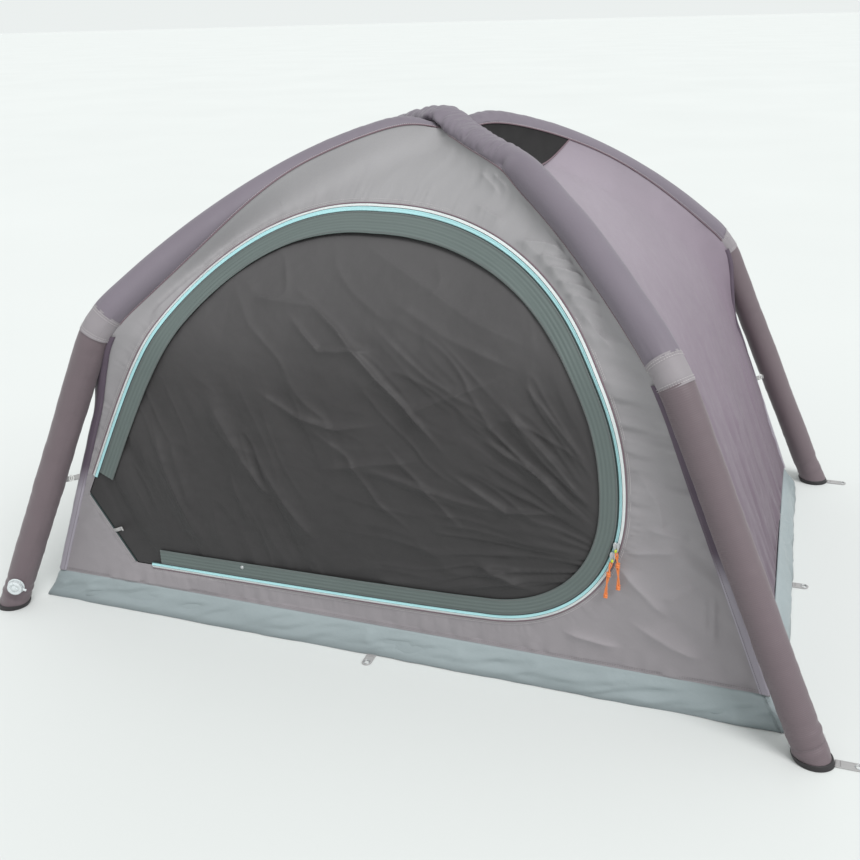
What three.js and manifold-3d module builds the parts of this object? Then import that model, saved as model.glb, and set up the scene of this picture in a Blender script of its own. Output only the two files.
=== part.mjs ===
// Two-person inflatable dome tent: two air beams cross at the top, and four fabric panels hang
// between them over a groundsheet. Millimetres, +Z up. The doorway faces -Y. The origin is on the
// ground, under the crossing.
import * as THREE from "three";
import { mergeVertices } from "three/addons/utils/BufferGeometryUtils.js";
import Module from "manifold-3d";

// ---- driving dimensions ----
const APEX_HEIGHT = 1300; // centreline of the beams where they cross
const KNEE = { x: 729, y: 685, z: 863 }; // centreline where the arch becomes a straight leg
const FOOT = { x: 1112, y: 772 }; // centreline of a leg where it meets the ground
const ARCH_POWER = 1.8; // the arch falls with this power of the distance from the crossing
const BEND = { start: 0.93, end: 1.07 }; // the knee is rounded between these beam stations
const SLEEVE_R = 40;
const SLEEVE_WALL = 2.5;
const BLADDER_R = 34.5;
const CUFF = { start: 0.955, end: 1.06 }; // the knee cuff between these beam stations
const SIDES = 12; // facets round a beam
const CROSSING = { width: 90, squeeze: 0.5, spread: 0.22, sink: 22 }; // how beams flatten there
const BUTT = 0.058; // station where the two cross sleeves stop beside the main sleeve

const CORNER = { x: 709, y: 666, z: 828 }; // where two panels meet under a knee
const PANEL_TOP = 1256; // height of the panels under the crossing
const PANEL_WALL = 3;
const PANEL_GAP = 4; // from a panel's side edge to the corner line
const KNEE_SLACK = 80; // rounds a panel at knee height at mid-width
const EDGE_SLACK = 30; // and along its side edges
const VENT_REACH = 265; // a roof vent runs from the crossing to this far down the side panel

const TUB = { x: 1053, y: 700, height: 80, topX: 1007, topY: 675, wall: 3 };
const HEM = TUB.height + 1.6;

// The doorway seen square from the front, x across and z up: from the top of the hinge seam, over
// the top, down the right and back along the sill. Each curve is two handles and its end point.
const DOORWAY = {
  hingeTop: [-854, 354],
  curves: [
    [-620, 810, -500, 1140, -60, 1122],
    [290, 1122, 638, 950, 638, 500],
    [638, 300, 500, 168, 300, 166],
    [100, 155, -300, 152, -726, 150],
  ],
};
const ZIP = { width: 9, low: 4.2, high: 6.6, gap: 1.2 };
const GUARD = { near: 14, far: 66, low: 4.2, high: 5.6 };
const SLIDER = { height: 420, long: 24, wide: 15, low: 7.8, high: 12.9 };
const PULL = { length: 94, radius: 3.2 };

const TIE_HEIGHT = 400;
const VALVE = { height: 88, flangeR: 24, neckR: 15, boreR: 10.5, capR: 21, hinge: 28 };
const TAB = { long: 60, wide: 26, thick: 2.5, hole: 7 };

const UP = new THREE.Vector3(0, 0, 1);
const CORNERS = [
  { name: "front_right", sx: 1, sy: -1 },
  { name: "rear_left", sx: -1, sy: 1 },
  { name: "front_left", sx: -1, sy: -1 },
  { name: "rear_right", sx: 1, sy: 1 },
];

// ---- materials ----
function cloth(color, roughness = 0.8, metalness = 0) {
  return new THREE.MeshStandardMaterial({ color, roughness, metalness });
}

const MATERIALS = {
  sleeve: cloth("#7e7987"),
  leg: cloth("#7c6f74"),
  cuff: cloth("#9a969a"),
  bladder: cloth("#d8dcdc", 0.35),
  panel: cloth("#a8a8aa"),
  side: cloth("#92858f"),
  strip: cloth("#4f4650"),
  door: cloth("#4a4a4a"),
  zip: cloth("#cfe6e6", 0.45),
  guard: cloth("#626d6c"),
  mesh: cloth("#2f2e2e", 0.9),
  tub: cloth("#92a3a8", 0.6),
  webbing: cloth("#a9a7a8", 0.7),
  trim: cloth("#262527", 0.6),
  valve: cloth("#dfe5e6", 0.3),
  slider: cloth("#c9cccd", 0.4, 0.8),
  cord: cloth("#ef7426", 0.6),
};

// ---- solids from rings and grids ----
function signedVolume(positions, index) {
  const a = new THREE.Vector3();
  const b = new THREE.Vector3();
  const c = new THREE.Vector3();
  let sum = 0;
  for (let i = 0; i < index.length; i += 3) {
    a.fromArray(positions, index[i] * 3);
    b.fromArray(positions, index[i + 1] * 3);
    c.fromArray(positions, index[i + 2] * 3);
    sum += a.dot(b.cross(c));
  }
  return sum / 6;
}

function solidFrom(points, triangles) {
  const positions = points.flatMap((p) => [p.x, p.y, p.z]);
  const index = signedVolume(positions, triangles) > 0 ? triangles : triangles.toReversed();
  const geometry = new THREE.BufferGeometry();
  geometry.setAttribute("position", new THREE.Float32BufferAttribute(positions, 3));
  geometry.setIndex(index);
  return geometry;
}

// A loft closes with a cap on its first and last ring, or runs round into itself like a hollow tube.
function loft(rings, { loop = false, hub = 0 } = {}) {
  const count = rings[0].length;
  const points = rings.flat();
  const triangles = [];
  const bands = loop ? rings.length : rings.length - 1;
  for (let r = 0; r < bands; r += 1) {
    const here = r * count;
    const next = ((r + 1) % rings.length) * count;
    for (let k = 0; k < count; k += 1) {
      const turn = (k + 1) % count;
      triangles.push(here + k, here + turn, next + turn);
      triangles.push(here + k, next + turn, next + k);
    }
  }
  if (!loop) {
    const last = (rings.length - 1) * count;
    for (let k = 1; k < count - 1; k += 1) {
      const a = (hub + k) % count;
      const b = (hub + k + 1) % count;
      triangles.push(hub, b, a);
      triangles.push(last + hub, last + a, last + b);
    }
  }
  return solidFrom(points, triangles);
}

// A slab is two grids of points, its outer and its inner skin, joined round the edge.
function slab(outer, inner) {
  const rows = outer.length;
  const cols = outer[0].length;
  const points = [...outer.flat(), ...inner.flat()];
  const out = (r, c) => r * cols + c;
  const inn = (r, c) => rows * cols + r * cols + c;
  const triangles = [];
  const quad = (a, b, c, d) => triangles.push(a, b, c, a, c, d);
  for (let r = 0; r < rows - 1; r += 1) {
    for (let c = 0; c < cols - 1; c += 1) {
      quad(out(r, c), out(r, c + 1), out(r + 1, c + 1), out(r + 1, c));
      quad(inn(r, c), inn(r + 1, c), inn(r + 1, c + 1), inn(r, c + 1));
    }
    quad(out(r, 0), out(r + 1, 0), inn(r + 1, 0), inn(r, 0));
    quad(out(r + 1, cols - 1), out(r, cols - 1), inn(r, cols - 1), inn(r + 1, cols - 1));
  }
  for (let c = 0; c < cols - 1; c += 1) {
    quad(out(0, c + 1), out(0, c), inn(0, c), inn(0, c + 1));
    quad(out(rows - 1, c), out(rows - 1, c + 1), inn(rows - 1, c + 1), inn(rows - 1, c));
  }
  return solidFrom(points, triangles);
}

// ---- the beams ----
function archPoint(t) {
  const drop = (APEX_HEIGHT - KNEE.z) * t ** ARCH_POWER;
  return new THREE.Vector3(KNEE.x * t, KNEE.y * t, APEX_HEIGHT - drop);
}

function legPoint(s) {
  const knee = new THREE.Vector3(KNEE.x, KNEE.y, KNEE.z);
  return knee.lerp(new THREE.Vector3(FOOT.x, FOOT.y, 0), s);
}

// Station 0 is the crossing, 1 the knee and 2 the foot. A negative station is on the opposite leg.
function beamPoint(corner, station) {
  const t = Math.abs(station);
  const side = station < 0 ? -1 : 1;
  let p;
  if (t <= BEND.start) {
    p = archPoint(t);
  } else if (t >= BEND.end) {
    p = legPoint(t - 1);
  } else {
    const ends = [archPoint(BEND.start), archPoint(1), legPoint(BEND.end - 1)];
    const bend = new THREE.QuadraticBezierCurve3(...ends);
    p = bend.getPoint((t - BEND.start) / (BEND.end - BEND.start));
  }
  return p.multiply(new THREE.Vector3(side * corner.sx, side * corner.sy, 1));
}

function beamFrame(corner, station) {
  const step = 0.004;
  const before = beamPoint(corner, station - step);
  const tangent = beamPoint(corner, station + step).sub(before).normalize();
  const left = new THREE.Vector3(-corner.sy * KNEE.y, corner.sx * KNEE.x, 0).normalize();
  const over = tangent.clone().cross(left).normalize();
  const across = over.clone().cross(tangent).normalize();
  return { point: beamPoint(corner, station), tangent, across, over };
}

// One ring of a beam. At the crossing the main beam flattens upwards and the cross beam downwards.
function beamRing(corner, station, radius, lie = 1) {
  const { point, across, over } = beamFrame(corner, station);
  const reach = Math.hypot(KNEE.x, KNEE.y) * Math.abs(station);
  const near = Math.exp(-((reach / CROSSING.width) ** 2));
  const wide = radius * (1 + CROSSING.spread * near);
  const high = radius * (1 - CROSSING.squeeze * near);
  const shift = lie * CROSSING.sink * near;
  return Array.from({ length: SIDES }, (_, k) => {
    const angle = ((k + 0.5) * 2 * Math.PI) / SIDES;
    const p = point.clone().addScaledVector(across, wide * Math.cos(angle));
    return p.addScaledVector(over, high * Math.sin(angle) + shift);
  });
}

function stationsBetween(from, to, count) {
  return Array.from({ length: count + 1 }, (_, i) => from + ((to - from) * i) / count);
}

function hollowBeam(corner, stations, outerR, lie) {
  const outer = stations.map((s) => beamRing(corner, s, outerR, lie));
  const inner = stations.map((s) => beamRing(corner, s, outerR - SLEEVE_WALL, lie));
  return loft([...outer, ...inner.reverse()], { loop: true });
}

// Slides every point of a ring along the leg until it lies at one height.
function levelRing(ring, tangent, height) {
  return ring.map((p) => p.clone().addScaledVector(tangent, (height - p.z) / tangent.z));
}

const CROSS_STATIONS = [0, 0.04, 0.08, 0.13, 0.2];
const ARCH_STATIONS = [...CROSS_STATIONS, ...stationsBetween(0.3, CUFF.start, 7)];
const LEG_STATIONS = [0.97, 1, 1.03, 1.06, 1.5];
const FOOT_STATION = 1.93;

function mirrored(stations) {
  return [...stations.slice(1).map((s) => -s).reverse(), ...stations];
}

const SEAM = 0.0006; // half the gap between two tubes that are sewn end to end, in stations

const group = new THREE.Group();

function add(name, geometry, material) {
  const mesh = new THREE.Mesh(geometry, material);
  mesh.name = name;
  group.add(mesh);
  return mesh;
}

function makeBeams() {
  const [frontRight, , frontLeft, rearRight] = CORNERS;
  const whole = [...ARCH_STATIONS, ...LEG_STATIONS, FOOT_STATION];
  const bladder = (corner, lie) => mirrored(whole).map((s) => beamRing(corner, s, BLADDER_R, lie));
  add("air_beam_main", loft(bladder(frontRight, 1)), MATERIALS.bladder);
  add("air_beam_cross", loft(bladder(frontLeft, -1)), MATERIALS.bladder);
  const stop = CUFF.start - SEAM;
  const main = mirrored([...ARCH_STATIONS.slice(0, -1), stop]);
  const half = [BUTT, ...ARCH_STATIONS.slice(2, -1), stop];
  add("sleeve_main", hollowBeam(frontRight, main, SLEEVE_R, 1), MATERIALS.sleeve);
  add("sleeve_front_left", hollowBeam(frontLeft, half, SLEEVE_R, -1), MATERIALS.sleeve);
  add("sleeve_rear_right", hollowBeam(rearRight, half, SLEEVE_R, -1), MATERIALS.sleeve);
}

function makeLeg(corner) {
  const cuff = [CUFF.start + SEAM, 0.97, 1, 1.03, CUFF.end - SEAM];
  add(`knee_cuff_${corner.name}`, hollowBeam(corner, cuff, SLEEVE_R, 1), MATERIALS.cuff);
  const cover = [CUFF.end + SEAM, FOOT_STATION];
  add(`leg_cover_${corner.name}`, hollowBeam(corner, cover, SLEEVE_R, 1), MATERIALS.leg);

  const clear = 0.8;
  const wall = 2.6;
  const floor = 3;
  const { tangent } = beamFrame(corner, FOOT_STATION);
  const rim = 1.925;
  const outer = beamRing(corner, rim, SLEEVE_R + clear + wall);
  const inner = beamRing(corner, rim, SLEEVE_R + clear);
  const sole = levelRing(outer, tangent, 0);
  const inside = levelRing(inner, tangent, floor);
  add(`foot_cap_${corner.name}`, loft([sole, outer, inner, inside]), MATERIALS.trim);
}

// ---- the fabric panels ----
const FACES = {
  front: { out: new THREE.Vector3(0, -1, 0), deep: "y", wide: "x" },
  right: { out: new THREE.Vector3(1, 0, 0), deep: "x", wide: "y" },
  rear: { out: new THREE.Vector3(0, 1, 0), deep: "y", wide: "x" },
  left: { out: new THREE.Vector3(-1, 0, 0), deep: "x", wide: "y" },
};
const TUB_TOP = { x: TUB.topX, y: TUB.topY };

// Half the tent's size along one axis at a height: a leaning wall, then the arch over it.
function halfSize(axis, z, slack = EDGE_SLACK) {
  const rise = (z - TUB.height) / (CORNER.z - TUB.height);
  const wall = TUB_TOP[axis] + (CORNER[axis] - TUB_TOP[axis]) * rise;
  const fall = Math.max(PANEL_TOP - z, 0) / (PANEL_TOP - CORNER.z);
  const roof = CORNER[axis] * fall ** (1 / ARCH_POWER);
  return 0.5 * (wall + roof - Math.hypot(wall - roof, slack));
}

function depthAt(face, along, z) {
  const share = Math.min(Math.abs(along) / halfSize(face.wide, z), 1);
  return halfSize(face.deep, z, EDGE_SLACK + (KNEE_SLACK - EDGE_SLACK) * (1 - share ** 2));
}

// A point on a face, lifted off the fabric along its normal.
function facePoint(face, along, z, lift = 0) {
  const side = UP.clone().cross(face.out);
  const step = 0.5;
  const slopeAlong = depthAt(face, along + step, z) - depthAt(face, along - step, z);
  const slopeUp = depthAt(face, along, z + step) - depthAt(face, along, z - step);
  const normal = face.out.clone();
  normal.addScaledVector(side, -slopeAlong / (2 * step));
  normal.addScaledVector(UP, -slopeUp / (2 * step)).normalize();
  const p = side.multiplyScalar(along).addScaledVector(face.out, depthAt(face, along, z));
  return p.addScaledVector(UP, z).addScaledVector(normal, lift);
}

function roofHeight(share) {
  return PANEL_TOP - (PANEL_TOP - CORNER.z) * share ** ARCH_POWER;
}

const WALL_ROWS = [HEM, 260, 440, 600, 720, 790, CORNER.z];
const ROOF_SHARES = [0.95, 0.88, 0.79, 0.7, 0.6, 0.5, 0.4, 0.3, 0.2, 0.12, 0.04];

function panelGrid(face, rows, columns, lift) {
  return rows.map((z) => {
    const half = halfSize(face.wide, z) - PANEL_GAP;
    return stationsBetween(-half, half, columns).map((along) => facePoint(face, along, z, lift));
  });
}

function panelSlab(face, rows, columns) {
  return slab(panelGrid(face, rows, columns, 0), panelGrid(face, rows, columns, -PANEL_WALL));
}

function makeSidePanels() {
  const ventShare = VENT_REACH / CORNER.x;
  const seam = 0.0015;
  const below = ROOF_SHARES.filter((share) => share > ventShare + 0.03);
  const above = ROOF_SHARES.filter((share) => share < ventShare - 0.03);
  const wallRows = [...WALL_ROWS, ...below.map(roofHeight), roofHeight(ventShare + seam)];
  const ventRows = [roofHeight(ventShare - seam), ...above.map(roofHeight)];
  for (const name of ["right", "left"]) {
    add(`side_panel_${name}`, panelSlab(FACES[name], wallRows, 8), MATERIALS.side);
    add(`roof_vent_${name}`, panelSlab(FACES[name], ventRows, 4), MATERIALS.mesh);
  }
}

function makeCornerStrip(corner) {
  const thick = 2.5;
  const lift = 0.8;
  const wide = 24;
  const rings = [HEM + 5, ...WALL_ROWS.slice(1, 5), CORNER.z - 70].map((z) => {
    const x = halfSize("x", z);
    const y = halfSize("y", z);
    const section = [
      [x + lift, y + lift],
      [x + lift, y - wide],
      [x + lift + thick, y - wide],
      [x + lift + thick, y + lift + thick],
      [x - wide, y + lift + thick],
      [x - wide, y + lift],
    ];
    return section.map(([a, b]) => new THREE.Vector3(corner.sx * a, corner.sy * b, z));
  });
  add(`corner_strip_${corner.name}`, loft(rings), MATERIALS.strip);
}

// ---- the doorway ----
function zipPath() {
  const path = new THREE.Path();
  path.moveTo(...DOORWAY.hingeTop);
  for (const curve of DOORWAY.curves) {
    path.bezierCurveTo(...curve);
  }
  return path;
}

// Moves an outline sideways. A positive distance moves it out of the doorway.
function offsetOutline(points, distance, closed) {
  const count = points.length;
  return points.map((p, i) => {
    const before = points[closed ? (i + count - 1) % count : Math.max(i - 1, 0)];
    const after = points[closed ? (i + 1) % count : Math.min(i + 1, count - 1)];
    const arrive = p.clone().sub(before).normalize();
    const leave = after.clone().sub(p).normalize();
    const along = arrive.clone().add(leave).normalize();
    const normal = new THREE.Vector2(-along.y, along.x);
    const tight = closed ? Math.max(along.dot(leave), 0.4) : 1;
    return p.clone().addScaledVector(normal, distance / tight);
  });
}

function doorwayPrism(distance) {
  const outline = offsetOutline(zipPath().getSpacedPoints(64), distance, true);
  const reach = 900;
  const prism = new THREE.ExtrudeGeometry(new THREE.Shape(outline), {
    depth: reach,
    bevelEnabled: false,
    steps: 1,
  });
  prism.rotateX(Math.PI / 2);
  return prism;
}

// A flat strip that follows part of the zip line, between two distances from it.
function zipStrip(from, to, count, near, far, low, high) {
  const path = zipPath();
  const points = stationsBetween(from, to, count).map((u) => path.getPointAt(u));
  const shares = Math.abs(far - near) > 20 ? [0, 0.5, 1] : [0, 1];
  const edges = shares.map((share) => offsetOutline(points, near + (far - near) * share, false));
  const rings = points.map((_, i) => {
    const row = (lift) => edges.map((edge) => facePoint(FACES.front, edge[i].x, edge[i].y, lift));
    return [...row(low), ...row(high).reverse()];
  });
  return loft(rings);
}

const wasm = await Module();
wasm.setup();

function toManifold(source) {
  const bare = source.clone();
  bare.deleteAttribute("normal");
  bare.deleteAttribute("uv");
  const merged = mergeVertices(bare, 0.001);
  const vertProperties = Float32Array.from(merged.attributes.position.array);
  const triVerts = Uint32Array.from(merged.index.array);
  return new wasm.Manifold(new wasm.Mesh({ numProp: 3, vertProperties, triVerts }));
}

function fromManifold(solid) {
  const mesh = solid.getMesh();
  const geometry = new THREE.BufferGeometry();
  geometry.setAttribute("position", new THREE.BufferAttribute(mesh.vertProperties, 3));
  geometry.setIndex(new THREE.BufferAttribute(mesh.triVerts, 1));
  return geometry;
}

function makeFrontAndRear() {
  const rows = [...WALL_ROWS, ...ROOF_SHARES.map(roofHeight)];
  add("rear_panel", panelSlab(FACES.rear, rows, 8), MATERIALS.panel);
  const sheet = toManifold(panelSlab(FACES.front, rows, 12));
  const opening = toManifold(doorwayPrism(ZIP.gap));
  const leaf = toManifold(doorwayPrism(-ZIP.gap));
  add("front_panel", fromManifold(sheet.subtract(opening)), MATERIALS.panel);
  add("door_panel", fromManifold(sheet.intersect(leaf)), MATERIALS.door);
}

function makeZips() {
  const from = 0.016;
  const to = 0.987;
  const { low, high, gap, width } = ZIP;
  add("zip_tape_tent", zipStrip(from, to, 60, gap, gap + width, low, high), MATERIALS.zip);
  add("zip_tape_door", zipStrip(from, to, 60, -gap, -gap - width, low, high), MATERIALS.zip);
  const guard = [GUARD.near, GUARD.far].map((distance) => -distance);
  const tape = zipStrip(0.022, 0.978, 56, ...guard, GUARD.low, GUARD.high);
  add("door_guard_tape", tape, MATERIALS.guard);
}

// The sewn seam that the door hinges on, and the tab that ties the rolled door back.
function makeHingeSeam() {
  const top = new THREE.Vector2(...DOORWAY.hingeTop);
  const foot = new THREE.Vector2(...DOORWAY.curves.at(-1).slice(-2));
  const along = foot.clone().sub(top).normalize();
  const outward = new THREE.Vector2(along.y, -along.x);
  const strip = (from, to, near, far, low, high) => {
    const rings = [from, to].map((share) => {
      const p = top.clone().lerp(foot, share);
      const corners = [[near, low], [far, low], [far, high], [near, high]];
      return corners.map(([distance, lift]) => {
        const q = p.clone().addScaledVector(outward, distance);
        return facePoint(FACES.front, q.x, q.y, lift);
      });
    });
    return loft(rings);
  };
  add("hinge_seam", strip(0.04, 0.96, 3, 15, 1.2, 3), MATERIALS.panel);
  add("tie_back_tab", strip(0.5, 0.57, -4, -40, 1.4, 4), MATERIALS.webbing);
}

function pointAtHeight(height) {
  const points = zipPath().getSpacedPoints(600).filter((p) => p.x > 0);
  const gap = (p) => Math.abs(p.y - height);
  return points.reduce((best, p) => (gap(p) < gap(best) ? p : best));
}

// A slider straddles both zip tapes. Its cord pull hangs from it.
function makeSlider(name, height, lean) {
  const at = pointAtHeight(height);
  const long = SLIDER.long / 2;
  const wide = SLIDER.wide / 2;
  const shape = new THREE.Shape();
  shape.moveTo(-wide * 0.55, -long);
  shape.lineTo(wide * 0.55, -long);
  shape.lineTo(wide, long * 0.35);
  shape.lineTo(wide * 0.7, long);
  shape.lineTo(-wide * 0.7, long);
  shape.lineTo(-wide, long * 0.35);
  shape.closePath();
  const depth = SLIDER.high - SLIDER.low;
  const body = new THREE.ExtrudeGeometry(shape, { depth, bevelEnabled: false, steps: 1 });
  body.rotateX(Math.PI / 2);
  const base = facePoint(FACES.front, at.x, at.y, SLIDER.low);
  const slider = add(`zip_slider_${name}`, body, MATERIALS.slider);
  slider.position.copy(base);

  const start = base.clone().add(new THREE.Vector3(lean * 2, -depth - 4, -long - 0.4));
  const swing = new THREE.Vector3(lean * 9, -3, -PULL.length);
  const middle = start.clone().addScaledVector(swing, 0.5).add(new THREE.Vector3(lean * 4, 0, 0));
  const line = new THREE.QuadraticBezierCurve3(start, middle, start.clone().add(swing));
  const section = new THREE.Shape();
  section.absarc(0, 0, PULL.radius, 0, 2 * Math.PI);
  const cord = new THREE.ExtrudeGeometry(section, {
    steps: 8,
    curveSegments: 5,
    bevelEnabled: false,
    extrudePath: line,
  });
  add(`zip_pull_${name}`, cord, MATERIALS.cord);
}

// ---- groundsheet, webbing and valves ----
function makeTub() {
  const ring = (x, y, z) => [[x, -y], [x, y], [-x, y], [-x, -y]].map(([a, b]) => {
    return new THREE.Vector3(a, b, z);
  });
  const { x, y, topX, topY, height, wall } = TUB;
  const rings = [
    ring(x, y, 0),
    ring(topX, topY, height),
    ring(topX - wall, topY - wall, height),
    ring(x - wall, y - wall, wall),
  ];
  add("groundsheet", loft(rings), MATERIALS.tub);
}

// A flat webbing tab with an eyelet, drawn from its root at the origin out along +X.
function eyeletTab(long, wide, hole, thick) {
  const shape = new THREE.Shape();
  shape.moveTo(0, -wide / 2);
  shape.lineTo(long - wide / 2, -wide / 2);
  shape.absarc(long - wide / 2, 0, wide / 2, -Math.PI / 2, Math.PI / 2);
  shape.lineTo(0, wide / 2);
  shape.closePath();
  const eye = new THREE.Path();
  eye.absarc(long - wide / 2, 0, hole, 0, 2 * Math.PI, true);
  shape.holes.push(eye);
  const settings = { depth: thick, bevelEnabled: false, steps: 1, curveSegments: 4 };
  return new THREE.ExtrudeGeometry(shape, settings);
}

function makePegLoops() {
  for (const corner of CORNERS) {
    const tab = eyeletTab(TAB.long, TAB.wide, TAB.hole, TAB.thick);
    const loop = add(`foot_peg_loop_${corner.name}`, tab, MATERIALS.webbing);
    loop.rotation.z = corner.sx < 0 ? Math.PI : 0;
    loop.position.set(corner.sx * (FOOT.x + 49), corner.sy * FOOT.y, 0);
  }
  for (const [name, face] of Object.entries(FACES)) {
    const tab = eyeletTab(0.75 * TAB.long, TAB.wide, TAB.hole, TAB.thick);
    const loop = add(`floor_peg_loop_${name}`, tab, MATERIALS.webbing);
    loop.rotation.z = Math.atan2(face.out.y, face.out.x);
    loop.position.copy(face.out).multiplyScalar(TUB[face.deep] + 0.6);
  }
}

// A short strap from the tent's corner to the leg beside it.
function makeStrap(corner) {
  const station = 1 + (KNEE.z - TIE_HEIGHT) / KNEE.z;
  const leg = beamPoint(corner, station);
  const edge = 3.8;
  const x = corner.sx * (halfSize("x", TIE_HEIGHT) + edge);
  const y = corner.sy * (halfSize("y", TIE_HEIGHT) + edge);
  const from = new THREE.Vector3(x, y, TIE_HEIGHT);
  const gap = leg.clone().sub(from);
  const direction = gap.clone().normalize();
  const length = gap.length() - SLEEVE_R - 7.5;
  const strap = new THREE.BoxGeometry(length, 2.4, 16);
  strap.translate(length / 2 + 0.8, 0, 0);
  const tie = add(`leg_tie_${corner.name}`, strap, MATERIALS.webbing);
  tie.rotation.z = Math.atan2(direction.y, direction.x);
  tie.position.copy(from);
}

// A screw valve low on a leg. Its cap swings on a short strap at the side.
function makeValve(corner, outX, outY) {
  const { tangent, point } = beamFrame(corner, 2 - VALVE.height / KNEE.z);
  const out = new THREE.Vector3(outX, outY, 0);
  out.addScaledVector(tangent, -out.dot(tangent)).normalize();
  const legUp = tangent.clone().negate();
  const side = legUp.clone().cross(out);
  const place = new THREE.Matrix4().makeBasis(side, legUp, out);
  place.setPosition(point.clone().addScaledVector(out, SLEEVE_R + 0.5));
  const lathe = (profile) => {
    const solid = new THREE.LatheGeometry(profile.map(([r, h]) => new THREE.Vector2(r, h)), 20);
    solid.rotateX(Math.PI / 2);
    return solid;
  };
  const { flangeR, neckR, boreR, capR, hinge } = VALVE;
  const body = lathe([
    [boreR, 0], [flangeR, 0], [flangeR, 3], [neckR, 3.5], [neckR, 12], [boreR, 12], [boreR, 0],
  ]);
  const skirt = 4.2;
  const cap = toManifold(lathe([
    [0, 12.8], [neckR + 2, 12.8], [neckR + 2, skirt], [capR, skirt], [capR, 15.5],
    [capR - 2, 17.5], [0, 17.5],
  ]));
  const strap = new THREE.BoxGeometry(hinge + 3 - capR + 2, 9, 2);
  strap.translate((hinge + 3 + capR - 2) / 2, 0, skirt + 1);
  const name = corner.name;
  add(`valve_body_${name}`, body.applyMatrix4(place), MATERIALS.valve);
  const capSolid = fromManifold(cap.add(toManifold(strap))).applyMatrix4(place);
  add(`valve_cap_${name}`, capSolid, MATERIALS.valve);
}

makeBeams();
for (const corner of CORNERS) {
  makeLeg(corner);
  makeCornerStrip(corner);
  makeStrap(corner);
}
makeSidePanels();
makeFrontAndRear();
makeZips();
makeHingeSeam();
makeSlider("upper", SLIDER.height, 1);
makeSlider("lower", SLIDER.height - 28, -1);
makeTub();
makePegLoops();
makeValve(CORNERS[2], 0.35, -0.94);
makeValve(CORNERS[1], -0.35, 0.94);

export default group;
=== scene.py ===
"""Two-person inflatable dome tent: the looks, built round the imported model. Metres, +Z up, doorway to -Y."""

import math

import bpy
import numpy as np
from mathutils import Matrix, Vector
from mathutils.kdtree import KDTree


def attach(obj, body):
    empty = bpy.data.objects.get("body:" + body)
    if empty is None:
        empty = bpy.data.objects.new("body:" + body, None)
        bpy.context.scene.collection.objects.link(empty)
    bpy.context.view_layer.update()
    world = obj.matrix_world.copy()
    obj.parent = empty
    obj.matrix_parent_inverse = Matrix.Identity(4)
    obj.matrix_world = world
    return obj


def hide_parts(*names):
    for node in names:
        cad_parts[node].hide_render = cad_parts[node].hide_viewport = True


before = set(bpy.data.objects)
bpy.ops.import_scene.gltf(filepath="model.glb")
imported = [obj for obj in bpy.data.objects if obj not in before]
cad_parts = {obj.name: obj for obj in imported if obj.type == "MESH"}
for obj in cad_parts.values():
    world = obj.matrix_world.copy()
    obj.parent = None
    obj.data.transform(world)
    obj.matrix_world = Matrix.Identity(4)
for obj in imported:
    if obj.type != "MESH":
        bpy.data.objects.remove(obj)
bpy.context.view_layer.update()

# ---- driving dimensions, the same as the model's ----
APEX_HEIGHT = 1.300
KNEE = np.array([0.729, 0.685, 0.863])
FOOT = np.array([1.112, 0.772, 0.0])
ARCH_POWER = 1.8
BEND = (0.93, 1.07)
SLEEVE_R = 0.040
CUFF = (0.972, 1.036)
FOOT_TRIM = 0.014
CROSSING = {"width": 0.090, "squeeze": 0.5, "spread": 0.22, "sink": 0.022}
SLACK = {"wide": 0.005, "high": 0.011, "sink": 0.013}
PINCH = 0.360
PUFF = 0.388
BLADDER_SHARE = 0.72
CUFF_R = 0.0414

CORNER = {"x": 0.709, "y": 0.666, "z": 0.828}
PANEL_TOP = 1.256
KNEE_SLACK = 0.080
EDGE_SLACK = 0.030
VENT_REACH = 0.265
TUB = {"x": 1.053, "y": 0.700, "height": 0.080, "x_top": 1.007, "y_top": 0.675}
HEM = 0.0816

DOORWAY_START = (-0.854, 0.354)
DOORWAY_CURVES = [
    [(-0.620, 0.810), (-0.500, 1.140), (-0.060, 1.122)],
    [(0.290, 1.122), (0.638, 0.950), (0.638, 0.500)],
    [(0.638, 0.300), (0.500, 0.168), (0.300, 0.166)],
    [(0.100, 0.155), (-0.300, 0.152), (-0.726, 0.150)],
]
ZIP_SPAN = (0.016, 0.987)
GUARD_SPAN = (0.022, 0.978)
SLIDER_HEIGHT = {"upper": 0.420, "lower": 0.392}
SLIDER_LONG = 0.024
SLIDER_LOW = 0.0078
SLIDER_DEEP = 0.0051
PULL_LENGTH = 0.094
TIE_HEIGHT = 0.400
VALVE_HEIGHT = 0.088
FLARE_REACH = 0.15
OUTLINE_STEP = 0.002

UP = np.array([0.0, 0.0, 1.0])
CORNERS = {
    "front_right": (1, -1),
    "rear_left": (-1, 1),
    "front_left": (-1, -1),
    "rear_right": (1, 1),
}


# ---- the camera ----
def make_camera():
    place = Vector((0.92944, -2.77813, 1.58419))
    yaw, pitch, roll = -0.345201, -0.391161, -0.0249306
    forward = Vector((math.sin(yaw) * math.cos(pitch), math.cos(yaw) * math.cos(pitch), math.sin(pitch)))
    level = Vector((math.cos(yaw), -math.sin(yaw), 0))
    above = level.cross(forward)
    right = math.cos(roll) * level + math.sin(roll) * above
    top = math.cos(roll) * above - math.sin(roll) * level
    data = bpy.data.cameras.new("camera")
    data.lens = 42.32
    data.sensor_width = 36
    camera = bpy.data.objects.new("camera", data)
    turn = Matrix((right, top, -forward)).transposed()
    camera.matrix_world = Matrix.Translation(place) @ turn.to_4x4()
    bpy.context.scene.collection.objects.link(camera)
    bpy.context.scene.camera = camera


# ---- numbers ----
def smooth(low, high, x):
    t = np.clip((x - low) / (high - low), 0, 1)
    return t * t * (3 - 2 * t)


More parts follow.
